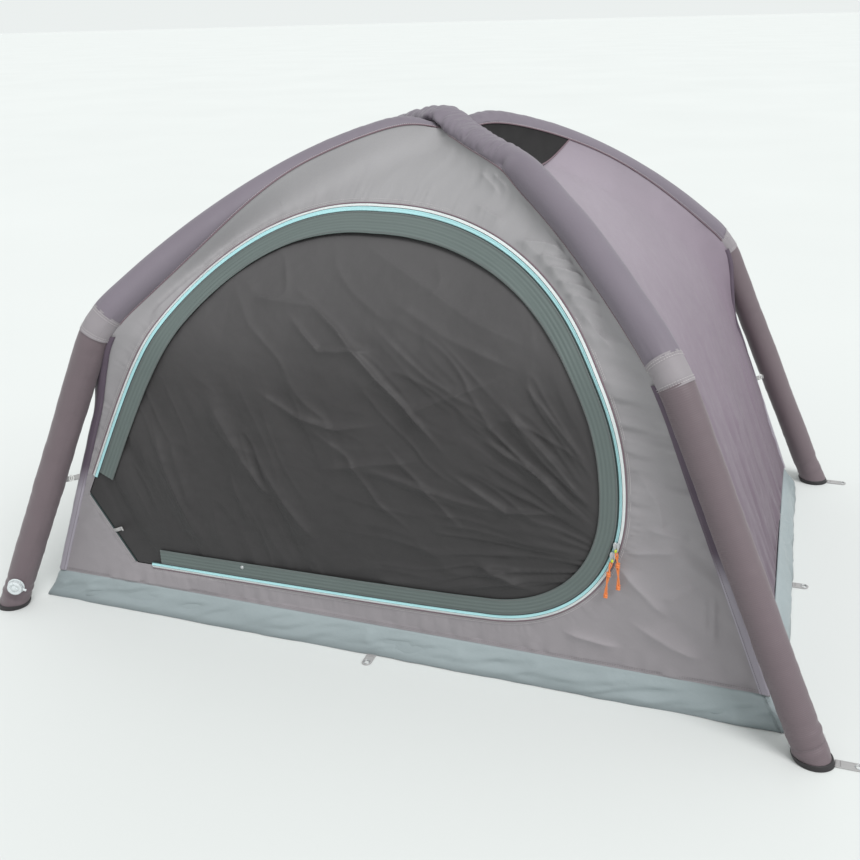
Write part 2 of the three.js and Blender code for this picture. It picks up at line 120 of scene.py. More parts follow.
def lattice(i, j, seed):
    h = np.sin(i * 127.1 + j * 311.7 + seed * 74.7) * 43758.5453
    return 2 * (h - np.floor(h)) - 1


def noise(x, y, seed=0):
    """Smooth noise from -1 to 1 with cells one unit across, the same on every run."""
    x, y = np.broadcast_arrays(np.asarray(x, float), np.asarray(y, float))
    i, j = np.floor(x), np.floor(y)
    u, v = smooth(0, 1, x - i), smooth(0, 1, y - j)
    low = lattice(i, j, seed) * (1 - u) + lattice(i + 1, j, seed) * u
    high = lattice(i, j + 1, seed) * (1 - u) + lattice(i + 1, j + 1, seed) * u
    return low * (1 - v) + high * v


def layered(x, y, seed=0, octaves=3):
    total = 0
    for k in range(octaves):
        total = total + noise(x * 2**k + 13 * k, y * 2**k + 7 * k, seed + k) / 2**k
    return total / 1.5


def ridged(x, y, seed=0, sharp=3):
    return (1 - np.abs(noise(x, y, seed))) ** sharp


def folds(x, z, lines):
    """Creases with a sharp back. Each line is its width, its height and the points it runs through."""
    total = np.zeros_like(x)
    for width, height, points in lines:
        points = np.array(points)
        best = np.full(x.shape, np.inf)
        share = np.zeros_like(x)
        side = np.ones_like(x)
        count = len(points) - 1
        for k in range(count):
            run = points[k + 1] - points[k]
            dx, dz = x - points[k, 0], z - points[k, 1]
            along = np.clip((dx * run[0] + dz * run[1]) / (run @ run), 0, 1)
            gap = np.hypot(dx - along * run[0], dz - along * run[1])
            closer = gap < best
            best = np.where(closer, gap, best)
            share = np.where(closer, (k + along) / count, share)
            side = np.where(closer, run[0] * dz - run[1] * dx, side)
        ends = smooth(0, 0.3, share) * smooth(0, 0.3, 1 - share)
        reach = np.where(side > 0, width, 2.5 * width)
        total += height * ends * np.exp(-best / reach)
    return total


def unit(v):
    return v / np.maximum(np.linalg.norm(v, axis=-1, keepdims=True), 1e-12)


def full_turn(count):
    return np.linspace(0, 2 * math.pi, count, endpoint=False)


def distance_along(path):
    return np.r_[0, np.linalg.norm(np.diff(path, axis=0), axis=1).cumsum()]


# ---- the shape of the panels ----
FACES = {"front": (0, -1, 0), "right": (1, 0, 0), "rear": (0, 1, 0), "left": (-1, 0, 0)}
FACES = {name: np.array(out, float) for name, out in FACES.items()}
DEEP = {"front": "y", "right": "x", "rear": "y", "left": "x"}
WIDE = {"front": "x", "right": "y", "rear": "x", "left": "y"}


def half_size(axis, z, slack=EDGE_SLACK):
    """Half the tent's size along one axis at a height: a leaning wall, then the arch over it."""
    rise = (z - TUB["height"]) / (CORNER["z"] - TUB["height"])
    top = TUB[axis + "_top"]
    wall = top + (CORNER[axis] - top) * rise
    fall = np.maximum(PANEL_TOP - z, 0) / (PANEL_TOP - CORNER["z"])
    roof = CORNER[axis] * fall ** (1 / ARCH_POWER)
    return 0.5 * (wall + roof - np.hypot(wall - roof, slack))


def depth_at(face, along, z):
    edge = np.maximum(half_size(WIDE[face], z), 1e-4)
    share = np.minimum(np.abs(along) / edge, 1)
    return half_size(DEEP[face], z, EDGE_SLACK + (KNEE_SLACK - EDGE_SLACK) * (1 - share**2))


def face_frame(face, along, z):
    """Points on a face and the cloth's normals there."""
    along, z = np.broadcast_arrays(np.asarray(along, float), np.asarray(z, float))
    out = FACES[face]
    side = np.cross(UP, out)
    step = 0.0005
    across = (depth_at(face, along + step, z) - depth_at(face, along - step, z)) / (2 * step)
    upward = (depth_at(face, along, z + step) - depth_at(face, along, z - step)) / (2 * step)
    normal = unit(out - across[..., None] * side - upward[..., None] * UP)
    point = along[..., None] * side + depth_at(face, along, z)[..., None] * out + z[..., None] * UP
    return point, normal


def on_face(face, along, z, lift=0.0):
    point, normal = face_frame(face, along, z)
    return point + np.asarray(lift)[..., None] * normal


def roof_height(share):
    return PANEL_TOP - (PANEL_TOP - CORNER["z"]) * share**ARCH_POWER


# ---- the beams ----
def beam_points(corner, stations):
    """Station 0 is the crossing, 1 the knee and 2 the foot. A negative one is on the opposite leg."""
    stations = np.asarray(stations, float)
    t = np.abs(stations)[:, None]

    def arch(s):
        return np.concatenate([KNEE[:2] * s, APEX_HEIGHT - (APEX_HEIGHT - KNEE[2]) * s**ARCH_POWER], -1)

    def leg(s):
        return KNEE + (FOOT - KNEE) * s

    u = np.clip((t - BEND[0]) / (BEND[1] - BEND[0]), 0, 1)
    start, end = arch(np.full_like(t, BEND[0])), leg(np.full_like(t, BEND[1] - 1))
    bend = start * (1 - u) ** 2 + 2 * KNEE * u * (1 - u) + end * u**2
    point = np.where(t <= BEND[0], arch(np.minimum(t, 1)), np.where(t >= BEND[1], leg(t - 1), bend))
    side = np.where(stations < 0, -1, 1)
    return point * np.stack([side * corner[0], side * corner[1], np.ones_like(side)], -1)


def beam_frames(corner, stations):
    stations = np.asarray(stations, float)
    step = 0.004
    tangent = unit(beam_points(corner, stations + step) - beam_points(corner, stations - step))
    left = unit(np.array([-corner[1] * KNEE[1], corner[0] * KNEE[0], 0.0]))
    over = unit(np.cross(tangent, left))
    return beam_points(corner, stations), tangent, unit(np.cross(over, tangent)), over


def beam_size(stations, lie):
    """At the crossing the main beam flattens upwards and the cross beam downwards.

    The front right quarter of the main beam stays slack and flat until its pinch crease."""
    stations = np.asarray(stations, float)
    reach = math.hypot(KNEE[0], KNEE[1]) * np.abs(stations)
    near = np.exp(-((reach / CROSSING["width"]) ** 2))
    wide = SLEEVE_R * (1 + CROSSING["spread"] * near)
    high = SLEEVE_R * (1 - CROSSING["squeeze"] * near)
    shift = lie * CROSSING["sink"] * near
    if lie > 0:
        slack = smooth(-0.02, 0.06, stations) * (1 - smooth(0.20, 0.42, stations)) * (1 - 0.6 * near)
        wide = wide + SLACK["wide"] * slack
        high = high - SLACK["high"] * slack
        shift = shift - SLACK["sink"] * slack
    return wide, high, shift


def around_beam(frames, sideways, upward):
    """A grid of points round a beam, from how far each lies across and over it."""
    point, _, across, over = frames
    return point[:, None] + across[:, None] * sideways[..., None] + over[:, None] * upward[..., None]


# ---- meshes ----
def mesh_piece(name, points, faces, uv, material, body="tent", slot="panel", stands_for=()):
    mesh = bpy.data.meshes.new(name)
    mesh.from_pydata(np.asarray(points).reshape(-1, 3).tolist(), [], np.asarray(faces).tolist())
    corners = np.empty(len(mesh.loops), int)
    mesh.loops.foreach_get("vertex_index", corners)
    layer = mesh.uv_layers.new(name="cloth")
    layer.data.foreach_set("uv", np.asarray(uv, float).reshape(-1, 2)[corners].ravel())
    mesh.polygons.foreach_set("use_smooth", [True] * len(mesh.polygons))
    mesh.materials.append(material)
    mesh.validate()
    piece = bpy.data.objects.new(name, mesh)
    bpy.context.scene.collection.objects.link(piece)
    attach(piece, body)
    if stands_for:
        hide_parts(*stands_for)
    return piece


def grid_faces(rows, cols, wrap=False):
    r = np.arange(rows - 1)[:, None]
    c = np.arange(cols if wrap else cols - 1)[None, :]
    n = (c + 1) % cols
    quads = [r * cols + c, r * cols + n, (r + 1) * cols + n, (r + 1) * cols + c]
    return np.stack(np.broadcast_arrays(*quads), -1).reshape(-1, 4)


def metric_uv(points):
    """Metres along the rows and down the columns of a grid of points."""
    down = np.linalg.norm(np.diff(points, axis=0, prepend=points[:1]), axis=-1).mean(1).cumsum()
    along = np.linalg.norm(np.diff(points, axis=1, prepend=points[:, :1]), axis=-1).cumsum(1)
    return np.stack([along, np.broadcast_to(down[:, None], along.shape)], -1)


def grid_piece(name, points, material, wrap=False, uv=None, **told):
    rows, cols = points.shape[:2]
    uv = metric_uv(points) if uv is None else uv
    return mesh_piece(name, points, grid_faces(rows, cols, wrap), uv, material, **told)


def ribbon(name, edges, thick, material, **told):
    """A flat strip with rounded sides. edges is a grid of points, each row one station, with normals."""
    points, normals = edges
    cols = points.shape[1]
    lift = thick * np.sqrt(np.maximum(1 - np.abs(np.linspace(-1, 1, cols)) ** 8, 0))
    top = points + lift[None, :, None] * normals
    low = points[:, ::-1] - 0.0002 * normals[:, ::-1]
    ring = np.concatenate([top, low[:, 1:-1]], 1)
    return grid_piece(name, ring, material, wrap=True, **told)


def tube(name, path, radius, material, sides=12, caps=True, **told):
    """A round tube along a path, with domed ends."""
    path = np.asarray(path, float)
    radius = np.broadcast_to(np.asarray(radius, float), len(path)).copy()
    if caps:
        lead = unit(path[0] - path[1]) * radius[0]
        tail = unit(path[-1] - path[-2]) * radius[-1]
        first = [path[0] + lead * 0.5, path[0] + lead * 0.35]
        last = [path[-1] + tail * 0.35, path[-1] + tail * 0.5]
        path = np.concatenate([first, path, last])
        radius = np.concatenate([[1e-5, radius[0] * 0.7], radius, [radius[-1] * 0.7, 1e-5]])
    tangent = unit(np.gradient(path, axis=0))
    guide = np.array([0.3, 0.9, 0.3]) if abs(tangent[0, 1]) < 0.8 else np.array([1.0, 0, 0])
    across = unit(np.cross(tangent, guide))
    for k in range(1, len(path)):
        side = across[k - 1] - tangent[k] * (across[k - 1] @ tangent[k])
        across[k] = side / np.linalg.norm(side)
    over = np.cross(across, tangent)
    angle = full_turn(sides)
    ring = across[:, None] * np.cos(angle)[:, None] + over[:, None] * np.sin(angle)[:, None]
    points = path[:, None] + ring * radius[:, None, None]
    return grid_piece(name, points, material, wrap=True, **told)


def resample(path, count):
    path = np.asarray(path, float)
    run = distance_along(path)
    at = np.linspace(0, run[-1], count)
    return np.stack([np.interp(at, run, path[:, k]) for k in range(path.shape[1])], -1)


def stitches(name, path, normals, material, pitch=0.006, long=0.0042, wide=0.0011, high=0.0007, **told):
    """A row of thread stitches: each is a short raised bar."""
    run = distance_along(path)
    both = np.concatenate([path, normals], 1)
    starts = np.arange(pitch * 0.5, run[-1] - long, pitch)
    stops = [starts + share * long for share in (0, 0.5, 1)]
    place = [np.stack([np.interp(stop, run, both[:, k]) for k in range(6)], -1) for stop in stops]
    points = []
    for at, lift in zip(place, (0, high, 0)):
        normal = unit(at[:, 3:])
        side = unit(np.cross(normal, place[2][:, :3] - place[0][:, :3])) * wide / 2
        centre = at[:, :3] + normal * lift
        points += [centre - side, centre + side * 0.1 + normal * 0.0003, centre + side]
    points = np.stack(points, 1)
    cell = grid_faces(3, 3)
    faces = (cell[None] + 9 * np.arange(len(points))[:, None, None]).reshape(-1, 4)
    uv = np.zeros((len(points) * 9, 2))
    return mesh_piece(name, points, faces, uv, material, **told)


# ---- materials ----
def linear(red, green, blue):
    """A colour given as 0 to 255 sRGB, as linear light."""
    c = np.array([red, green, blue]) / 255
    c = np.where(c <= 0.04045, c / 12.92, ((c + 0.055) / 1.055) ** 2.4)
    return (*[float(v) for v in c], 1.0)


class Nodes:
    """A small helper that adds nodes and links to one material."""

    def __init__(self, name):
        self.material = bpy.data.materials.new(name)
        self.material.use_nodes = True
        self.tree = self.material.node_tree
        self.shader = self.tree.nodes["Principled BSDF"]
        self.coordinate = self.tree.nodes.new("ShaderNodeTexCoord")
        self.bumps = None

    def add(self, kind, settings=(), **inputs):
        node = self.tree.nodes.new("ShaderNode" + kind)
        for key, value in dict(settings).items():
            setattr(node, key, value)
        for key, value in inputs.items():
            self.feed(node.inputs[key.replace("_", " ")], value)
        return node

    def feed(self, socket, value):
        if isinstance(value, bpy.types.NodeSocket):
            self.tree.links.new(value, socket)
        else:
            socket.default_value = value

    def stretched(self, scale, source="UV"):
        return self.add("Mapping", Vector=self.coordinate.outputs[source], Scale=scale).outputs[0]

    def noise(self, scale, detail=2.0, source="UV", rough=0.55):
        vector = self.stretched(scale, source)
        return self.add("TexNoise", Vector=vector, Scale=1.0, Detail=detail, Roughness=rough).outputs["Fac"]

    def spread(self, value, low, high, start=0.3, end=0.7):
        node = self.add("MapRange", Value=value, From_Min=start, From_Max=end, To_Min=low, To_Max=high)
        return node.outputs[0]

    def mix(self, factor, a, b, how="MIX"):
        node = self.tree.nodes.new("ShaderNodeMix")
        node.data_type = "RGBA"
        node.blend_type = how
        for index, value in ((0, factor), (6, a), (7, b)):
            self.feed(node.inputs[index], value)
        return node.outputs[2]

    def maths(self, how, a, b):
        node = self.tree.nodes.new("ShaderNodeMath")
        node.operation = how
        for index, value in enumerate((a, b)):
            self.feed(node.inputs[index], value)
        return node.outputs[0]

    def bump(self, height, distance, strength=1.0):
        node = self.add("Bump", Height=height, Distance=distance, Strength=strength)
        if self.bumps is not None:
            self.tree.links.new(self.bumps, node.inputs["Normal"])
        self.bumps = node.outputs[0]

    def finish(self, base, rough):
        self.tree.links.new(base, self.shader.inputs["Base Color"])
        self.feed(self.shader.inputs["Roughness"], rough)
        if self.bumps is not None:
            self.tree.links.new(self.bumps, self.shader.inputs["Normal"])
        return self.material


WAVE = 0.314


def toned(colour, factor):
    return (*[min(c * factor, 1.0) for c in colour[:3]], 1.0)


def fabric(name, colour, rough=0.72, sheen=0.1, specular=0.3, mottle=0.05, weave=0.0011, depth=0.00005,
           crinkle=0.0006, size=0.03, ribs=None, height_shade_and_tone=None):
    """Woven cloth: broad and fine tone changes, a weave and small crinkles.

    Ribs are optional, and so is height_shade_and_tone, stops that multiply the colour by height: painted shade
    on the panels, sides, door and corner tapes, and on the groundsheet only a darker bottom edge."""
    n = Nodes(name)
    broad = n.noise((3.0, 3.0, 3.0), 3.0)
    base = n.mix(n.spread(broad, 0, 1), toned(colour, 1 - mottle), toned(colour, 1 + mottle))
    thread = n.noise((0.25 / weave, 1.2 / weave, 1.0), 1.0)
    base = n.mix(n.spread(thread, 0, 0.14), base, toned(colour, 0.72))
    # Painted shade by height: a ramp on the object's height multiplies the colour; on the groundsheet it only
    # darkens the bottom edge.
    if height_shade_and_tone:
        ramp = n.tree.nodes.new("ShaderNodeValToRGB")
        height = n.add("SeparateXYZ", Vector=n.coordinate.outputs["Object"]).outputs[2]
        n.tree.links.new(n.maths("DIVIDE", height, APEX_HEIGHT), ramp.inputs[0])
        for element, (z, tone) in zip(ramp.color_ramp.elements, (height_shade_and_tone[0], height_shade_and_tone[-1])):
            element.position = z / APEX_HEIGHT
            element.color = tone
        for z, tone in height_shade_and_tone[1:-1]:
            ramp.color_ramp.elements.new(z / APEX_HEIGHT).color = tone
        base = n.mix(1.0, base, ramp.outputs[0], "MULTIPLY")
    n.bump(n.noise((1 / size, 1 / size, 1 / size), 4.0, rough=0.62), crinkle)
    warp, weft = [n.add("TexWave", {"bands_direction": way}, Vector=n.stretched((1, 1, 1)), Scale=WAVE / weave)
                  for way in "XY"]
    n.bump(n.maths("MULTIPLY", warp.outputs["Fac"], weft.outputs["Fac"]), depth)
    if ribs:
        rib = n.add("TexWave", {"bands_direction": ribs["way"]}, Vector=n.stretched((1, 1, 1)),
                    Scale=WAVE / ribs["pitch"], Distortion=0.6, Detail=1.0)
        n.bump(rib.outputs["Fac"], ribs["depth"])
        base = n.mix(n.spread(rib.outputs["Fac"], 0, ribs["tone"], 0, 1), base, toned(colour, 0.6))
    shine = n.spread(n.noise((22, 22, 22), 3.0), rough - 0.06, rough + 0.08)
    n.shader.inputs["Sheen Weight"].default_value = sheen
    n.shader.inputs["Sheen Roughness"].default_value = 0.4
    n.shader.inputs["Specular IOR Level"].default_value = specular
    return n.finish(base, shine)


def moulded(name, colour, rough=0.4, metallic=0.0, through=0.0, grain=0.00006, coat=0.0):
    """Moulded plastic or cast metal with a fine grain and faint scuffs."""
    n = Nodes(name)
    scuff = n.noise((120, 120, 120), 5.0, "Object", 0.7)
    base = n.mix(n.spread(scuff, 0, 1), toned(colour, 0.9), toned(colour, 1.06))
    n.bump(n.noise((900, 900, 900), 2.0, "Object"), grain)
    n.shader.inputs["Metallic"].default_value = metallic
    n.shader.inputs["Transmission Weight"].default_value = through
    n.shader.inputs["Coat Weight"].default_value = coat
    n.shader.inputs["Coat Roughness"].default_value = 0.2
    return n.finish(base, n.spread(scuff, rough - 0.08, rough + 0.12))


WHITE = (1.0, 1.0, 1.0, 1.0)
# Front and rear panels: painted shade, slightly darker lower down.
PANEL = fabric("panel_taffeta", linear(149, 147, 149), 0.62, 0.08, 0.35,
               height_shade_and_tone=[(0.1, linear(246, 240, 243)), (0.7, linear(248, 246, 247)), (1.2, WHITE)])
# Side panels: painted shade, darker lower down.
SIDE = fabric("side_taffeta", linear(148, 138, 148), 0.6, 0.1, 0.35,
              height_shade_and_tone=[(0.1, linear(172, 160, 168)), (0.7, linear(212, 202, 210)), (1.1, WHITE)])
# Door: painted shade, much darker lower down.
DOOR = fabric("door_taffeta", linear(80, 78, 79), 0.6, 0.06, 0.32, mottle=0.08, crinkle=0.0009,
              height_shade_and_tone=[(0.1, linear(172, 172, 172)), (0.7, linear(200, 198, 198)), (1.05, WHITE)])
SLEEVE = fabric("sleeve_oxford", linear(117, 109, 119), 0.58, 0.12, 0.4, weave=0.0014)
RIBBED = {"way": "X", "pitch": 0.0045, "depth": 0.00025, "tone": 0.16}
LEG = fabric("leg_oxford", linear(106, 93, 98), 0.52, 0.12, 0.45, weave=0.0014, ribs=RIBBED)
CUFF_CLOTH = fabric("cuff_oxford", linear(142, 136, 140), 0.6, 0.1, 0.35, weave=0.0014)
# Corner tapes: painted shade, darker from about 0.4 m up towards the knee, beside the leg.
STRIP = fabric("strip_taffeta", linear(156, 150, 160), 0.6, 0.1, 0.35,
               height_shade_and_tone=[(0.36, WHITE), (0.44, linear(146, 132, 144))])
PIPING = fabric("piping_tape", linear(118, 98, 106), 0.6, 0.1, 0.3, crinkle=0.0002, size=0.008)
GUARD = fabric("guard_tape", linear(98, 108, 106), 0.66, 0.1, 0.3, weave=0.0008, crinkle=0.0003,
               ribs={"way": "X", "pitch": 0.010, "depth": 0.0004, "tone": 0.3})
TEETH = {"way": "Y", "pitch": 0.003, "depth": 0.0008, "tone": 0.2}
FINE = {"weave": 0.0008, "crinkle": 0.0002}
ZIP_INNER = fabric("zip_tape_cyan", linear(178, 226, 230), 0.5, 0.05, 0.4, ribs=TEETH, **FINE)
ZIP_OUTER = fabric("zip_tape_white", linear(226, 232, 232), 0.45, 0.05, 0.4, ribs=TEETH, **FINE)
# Dark teal: along the door tape's edge this colour is painted shadow of the gap beside the tape.
EDGE_LINE = fabric("zip_edge_teal", linear(52, 66, 66), 0.6, 0.05, 0.3, **FINE)
MESH = fabric("vent_mesh", linear(31, 29, 30), 0.6, 0.05, 0.3, weave=0.0016, depth=0.0003,
              crinkle=0.0004, size=0.06)
COATED = fabric("groundsheet_coated", linear(146, 156, 159), 0.42, 0.05, 0.45,
                mottle=0.07, crinkle=0.0018, size=0.035,
                height_shade_and_tone=[(0.0, linear(205, 205, 205)), (0.02, linear(246, 246, 246)), (0.08, WHITE)])
WEBBING = fabric("webbing_tape", linear(176, 174, 174), 0.7, 0.15, 0.3, weave=0.0018, depth=0.0003,
                 ribs={"way": "Y", "pitch": 0.0022, "depth": 0.0003, "tone": 0.25})
TRIM = fabric("foot_trim", linear(44, 41, 43), 0.5, 0.05, 0.4, crinkle=0.0008)
THREAD = fabric("thread_pale", linear(188, 182, 184), 0.7, 0.2, 0.3, weave=0.0006)
THREAD_DARK = fabric("thread_dark", linear(112, 104, 108), 0.7, 0.2, 0.3, weave=0.0006)
BRAID = {"way": "DIAGONAL", "pitch": 0.0022, "depth": 0.0005, "tone": 0.35}
CORD = fabric("pull_cord", linear(240, 138, 78), 0.6, 0.15, 0.35, weave=0.0007,
              crinkle=0.0002, size=0.004, ribs=BRAID)
BEAD = moulded("bead_plastic", linear(196, 206, 60), 0.35)
METAL = moulded("slider_metal", linear(196, 198, 200), 0.32, metallic=0.85)
VALVE = moulded("valve_plastic", linear(216, 222, 224), 0.28, through=0.15, coat=0.3)
HOOK = moulded("hook_plastic", linear(226, 226, 224), 0.35)
BLADDER = moulded("beam_film", linear(206, 210, 208), 0.3, through=0.1)


# ---- the doorway's outline ----
def doorway_outline(count=2200):
    """Points from the top of the hinge seam, over the top, down the right and back along the sill."""
    share = np.linspace(0, 1, 200)[:, None]
    start = np.array(DOORWAY_START)
    runs = []
    for first, second, end in DOORWAY_CURVES:
        a, b, end = np.array(first), np.array(second), np.array(end)
        runs.append(start * (1 - share) ** 3 + 3 * a * share * (1 - share) ** 2
                    + 3 * b * share**2 * (1 - share) + end * share**3)
        start = end
    return resample(np.concatenate([runs[0], *[run[1:] for run in runs[1:]]]), count)


ZIP_LINE = doorway_outline()


def shifted(points, distance):
    """Moves an outline sideways. A positive distance moves it out of the doorway."""
    along = unit(np.gradient(points, axis=0))
    return points + distance * np.stack([-along[:, 1], along[:, 0]], -1)


def zip_run(span, count):
    whole = len(ZIP_LINE) - 1
    return resample(ZIP_LINE[round(span[0] * whole): round(span[1] * whole) + 1], count)


HINGE = np.array([DOORWAY_CURVES[-1][-1], DOORWAY_START])
LOOP = np.concatenate([ZIP_LINE, resample(HINGE, 130)[1:-1]])


class Outline:
    """Finds the nearest place on the doorway's closed outline."""

    def __init__(self):
        self.tree = KDTree(len(LOOP))
        for k, (x, z) in enumerate(LOOP):
            self.tree.insert((x, z, 0), k)
        self.tree.balance()
        step = unit(np.roll(LOOP, -1, 0) - np.roll(LOOP, 1, 0))
        self.normal = np.stack([-step[:, 1], step[:, 0]], -1)

    def nearest(self, x, z):
        """Distance out of the doorway, negative inside it, and the outline's index."""
        found = np.array([self.tree.find((a, b, 0))[1] for a, b in zip(x.ravel(), z.ravel())])
        away = np.stack([x.ravel(), z.ravel()], -1) - LOOP[found]
        gap = np.hypot(*away.T) * np.where((away * self.normal[found]).sum(1) < 0, -1, 1)
        return gap.reshape(x.shape), found.reshape(x.shape)


OUTLINE = Outline()

# ---- the cloth's relief ----
FRONT_FOLDS = [
    (0.010, 0.0060, [(0.30, 1.065), (0.39, 1.060), (0.46, 1.045)]),
    (0.008, 0.0055, [(0.36, 1.040), (0.49, 1.025)]),
    (0.008, 0.0060, [(0.39, 1.018), (0.52, 1.004)]),
    (0.008, 0.0055, [(0.42, 0.995), (0.54, 0.978)]),
    (0.007, 0.0040, [(0.45, 0.972), (0.56, 0.958)]),
    (0.007, 0.0030, [(0.48, 0.950), (0.57, 0.932)]),
    (0.007, 0.0035, [(0.17, 1.195), (0.25, 1.150)]),
    (0.006, 0.0035, [(0.18, 1.135), (0.28, 1.100)]),
    (0.006, 0.0030, [(0.22, 1.185), (0.28, 1.155)]),
    (0.012, 0.0035, [(0.50, 0.945), (0.60, 0.870)]),
    (0.014, 0.0050, [(0.63, 0.370), (0.77, 0.235)]),
    (0.014, 0.0045, [(0.66, 0.225), (0.78, 0.170), (0.87, 0.145)]),
    (0.008, 0.0030, [(0.69, 0.475), (0.80, 0.460)]),
    (0.007, 0.0025, [(0.74, 0.285), (0.82, 0.345)]),
    (0.006, 0.0025, [(0.86, 0.340), (0.870, 0.180)]),
    (0.006, 0.0020, [(0.84, 0.330), (0.848, 0.200)]),
    (0.007, 0.0030, [(0.64, 0.400), (0.79, 0.430)]),
    (0.009, 0.0035, [(0.50, 0.160), (0.66, 0.140)]),
    (0.010, 0.0030, [(0.66, 0.620), (0.72, 0.540), (0.74, 0.450)]),
    (0.010, 0.0030, [(-0.86, 0.560), (-0.80, 0.640), (-0.76, 0.740)]),
    (0.012, 0.0030, [(-0.62, 0.860), (-0.50, 0.980)]),
]
DOOR_FOLDS = [
    (0.007, 0.0080, [(-0.26, 0.975), (-0.09, 0.870), (0.11, 0.700), (0.22, 0.575)]),
    (0.007, 0.0050, [(-0.34, 0.925), (-0.15, 0.915)]),
    (0.006, 0.0060, [(-0.24, 0.905), (-0.13, 0.820), (0.03, 0.830)]),
    (0.007, 0.0060, [(-0.32, 0.720), (-0.20, 0.655), (-0.09, 0.628), (0.04, 0.650)]),
    (0.006, 0.0060, [(0.19, 0.560), (0.36, 0.470), (0.50, 0.478)]),
    (0.006, 0.0050, [(-0.03, 0.535), (0.09, 0.510), (0.23, 0.480), (0.38, 0.460)]),
    (0.006, 0.0060, [(0.25, 0.670), (0.43, 0.580), (0.56, 0.460)]),
    (0.006, 0.0050, [(0.31, 0.770), (0.47, 0.610), (0.60, 0.470)]),
    (0.005, 0.0045, [(0.36, 0.830), (0.54, 0.630), (0.60, 0.510)]),
    (0.008, 0.0045, [(-0.15, 0.510), (-0.01, 0.540), (0.15, 0.570)]),
    (0.009, 0.0060, [(-0.03, 0.215), (0.20, 0.225), (0.35, 0.280)]),
    (0.012, 0.0090, [(0.27, 0.320), (0.45, 0.250)]),
    (0.016, 0.0080, [(-0.63, 0.620), (-0.56, 0.400), (-0.49, 0.210)]),
    (0.014, 0.0060, [(-0.57, 0.560), (-0.51, 0.320)]),
    (0.014, 0.0080, [(-0.45, 0.700), (-0.35, 0.510), (-0.26, 0.390)]),
    (0.014, 0.0070, [(-0.33, 0.560), (-0.24, 0.410), (-0.14, 0.280)]),
    (0.012, 0.0050, [(-0.40, 0.480), (-0.34, 0.300)]),
    (0.010, 0.0050, [(-0.14, 1.080), (0.07, 0.990), (0.25, 0.910), (0.42, 0.860)]),
    (0.008, 0.0040, [(0.01, 0.950), (0.20, 0.870), (0.40, 0.810)]),
    (0.010, 0.0045, [(0.09, 0.680), (0.19, 0.730), (0.36, 0.805)]),
    (0.007, 0.0040, [(-0.02, 0.900), (0.16, 0.780), (0.33, 0.700)]),
    (0.006, 0.0035, [(-0.18, 0.640), (-0.06, 0.560), (0.02, 0.440), (0.14, 0.350)]),
    (0.006, 0.0035, [(0.02, 0.620), (0.17, 0.480), (0.27, 0.380)]),
]


def front_relief(x, z, gap, index, edge):
    """Height of the front panel's cloth. gap is the way to the zip and edge to the panel's own edge."""
    run = index * OUTLINE_STEP
    relief = 0.0045 * layered(x / 0.34, z / 0.30, 3, 2) + 0.0007 * layered(x / 0.045, z / 0.045, 5)
    pucker = noise(run / 0.017, gap / 0.06, 7) + 0.6 * noise(run / 0.009, gap / 0.04, 8)
    relief += 0.0019 * pucker * np.exp(-gap / 0.032)
    reach = noise((x - z) / 0.030, (x + z) / 0.20, 11)
    relief += 0.0024 * reach * np.exp(-edge / 0.060) * smooth(HEM, 0.30, z)
    band = smooth(0.30, 0.55, x) * smooth(0.45, 0.62, z) * (1 - smooth(0.98, 1.10, z))
    relief += 0.0042 * band * noise(x / 0.16, (z + 0.12 * x) / 0.020, 17)
    relief += 0.0022 * noise(x / 0.024, z / 0.10, 13) * np.exp(-(z - HEM) / 0.030)
    slant = smooth(0.62, 0.80, x) * (1 - smooth(0.40, 0.55, z))
    relief += 0.0032 * slant * noise((x + z) / 0.20, (z + 0.75 * x) / 0.045, 19)
    relief += 2.0 * folds(x, z, FRONT_FOLDS)
    return 1.4 * relief * smooth(0.004, 0.028, gap) * smooth(0, 0.02, edge)


def door_relief(x, z, gap):
    """Height of the door's cloth. gap is the way in from the doorway's outline."""
    inward = np.maximum(gap, 0)
    relief = 0.0060 * layered(x / 0.42, z / 0.34, 23, 2) + 0.0011 * layered(x / 0.040, z / 0.035, 25)
    fx, fz = x - 0.70, z - 0.36
    turn, reach = np.arctan2(fz, -fx), np.hypot(fx, fz)
    fan = ridged(turn * 9 + 0.5 * noise(x / 0.2, z / 0.2, 27), reach / 0.34, 29, 4)
    fan += 0.6 * ridged(turn * 17 + 0.4 * noise(x / 0.15, z / 0.15, 30), reach / 0.22, 31, 4)
    right = smooth(-0.25, 0.25, x) * (1 - smooth(0.80, 0.98, z))
    relief += 0.0042 * fan * right
    across, along = 0.92 * x + 0.38 * z, 0.38 * x - 0.92 * z
    left = (1 - smooth(-0.30, 0.00, x)) * (1 - smooth(0.62, 0.80, z))
    relief += 0.0062 * left * noise(across / 0.052, along / 0.42, 33)
    relief += 0.0022 * left * ridged(across / 0.034, along / 0.20, 35, 4)
    across, along = 0.60 * x + 0.80 * z, 0.80 * x - 0.60 * z
    middle = smooth(0.45, 0.62, z) * (1 - smooth(0.96, 1.08, z)) * smooth(-0.55, -0.35, x)
    wander = 0.3 * noise(x / 0.1, z / 0.1, 36)
    relief += 0.0034 * middle * ridged(across / 0.085 + wander, along / 0.30, 37, 5)
    relief = 1.6 * relief + 2.4 * folds(x, z, DOOR_FOLDS)
    free = smooth(0.05, 0.12, inward)
    relief = 0.0030 * np.tanh(relief / 0.0030) * (1 - free) + relief * free
    return (relief - 0.004) * smooth(0.0, 0.05, inward)


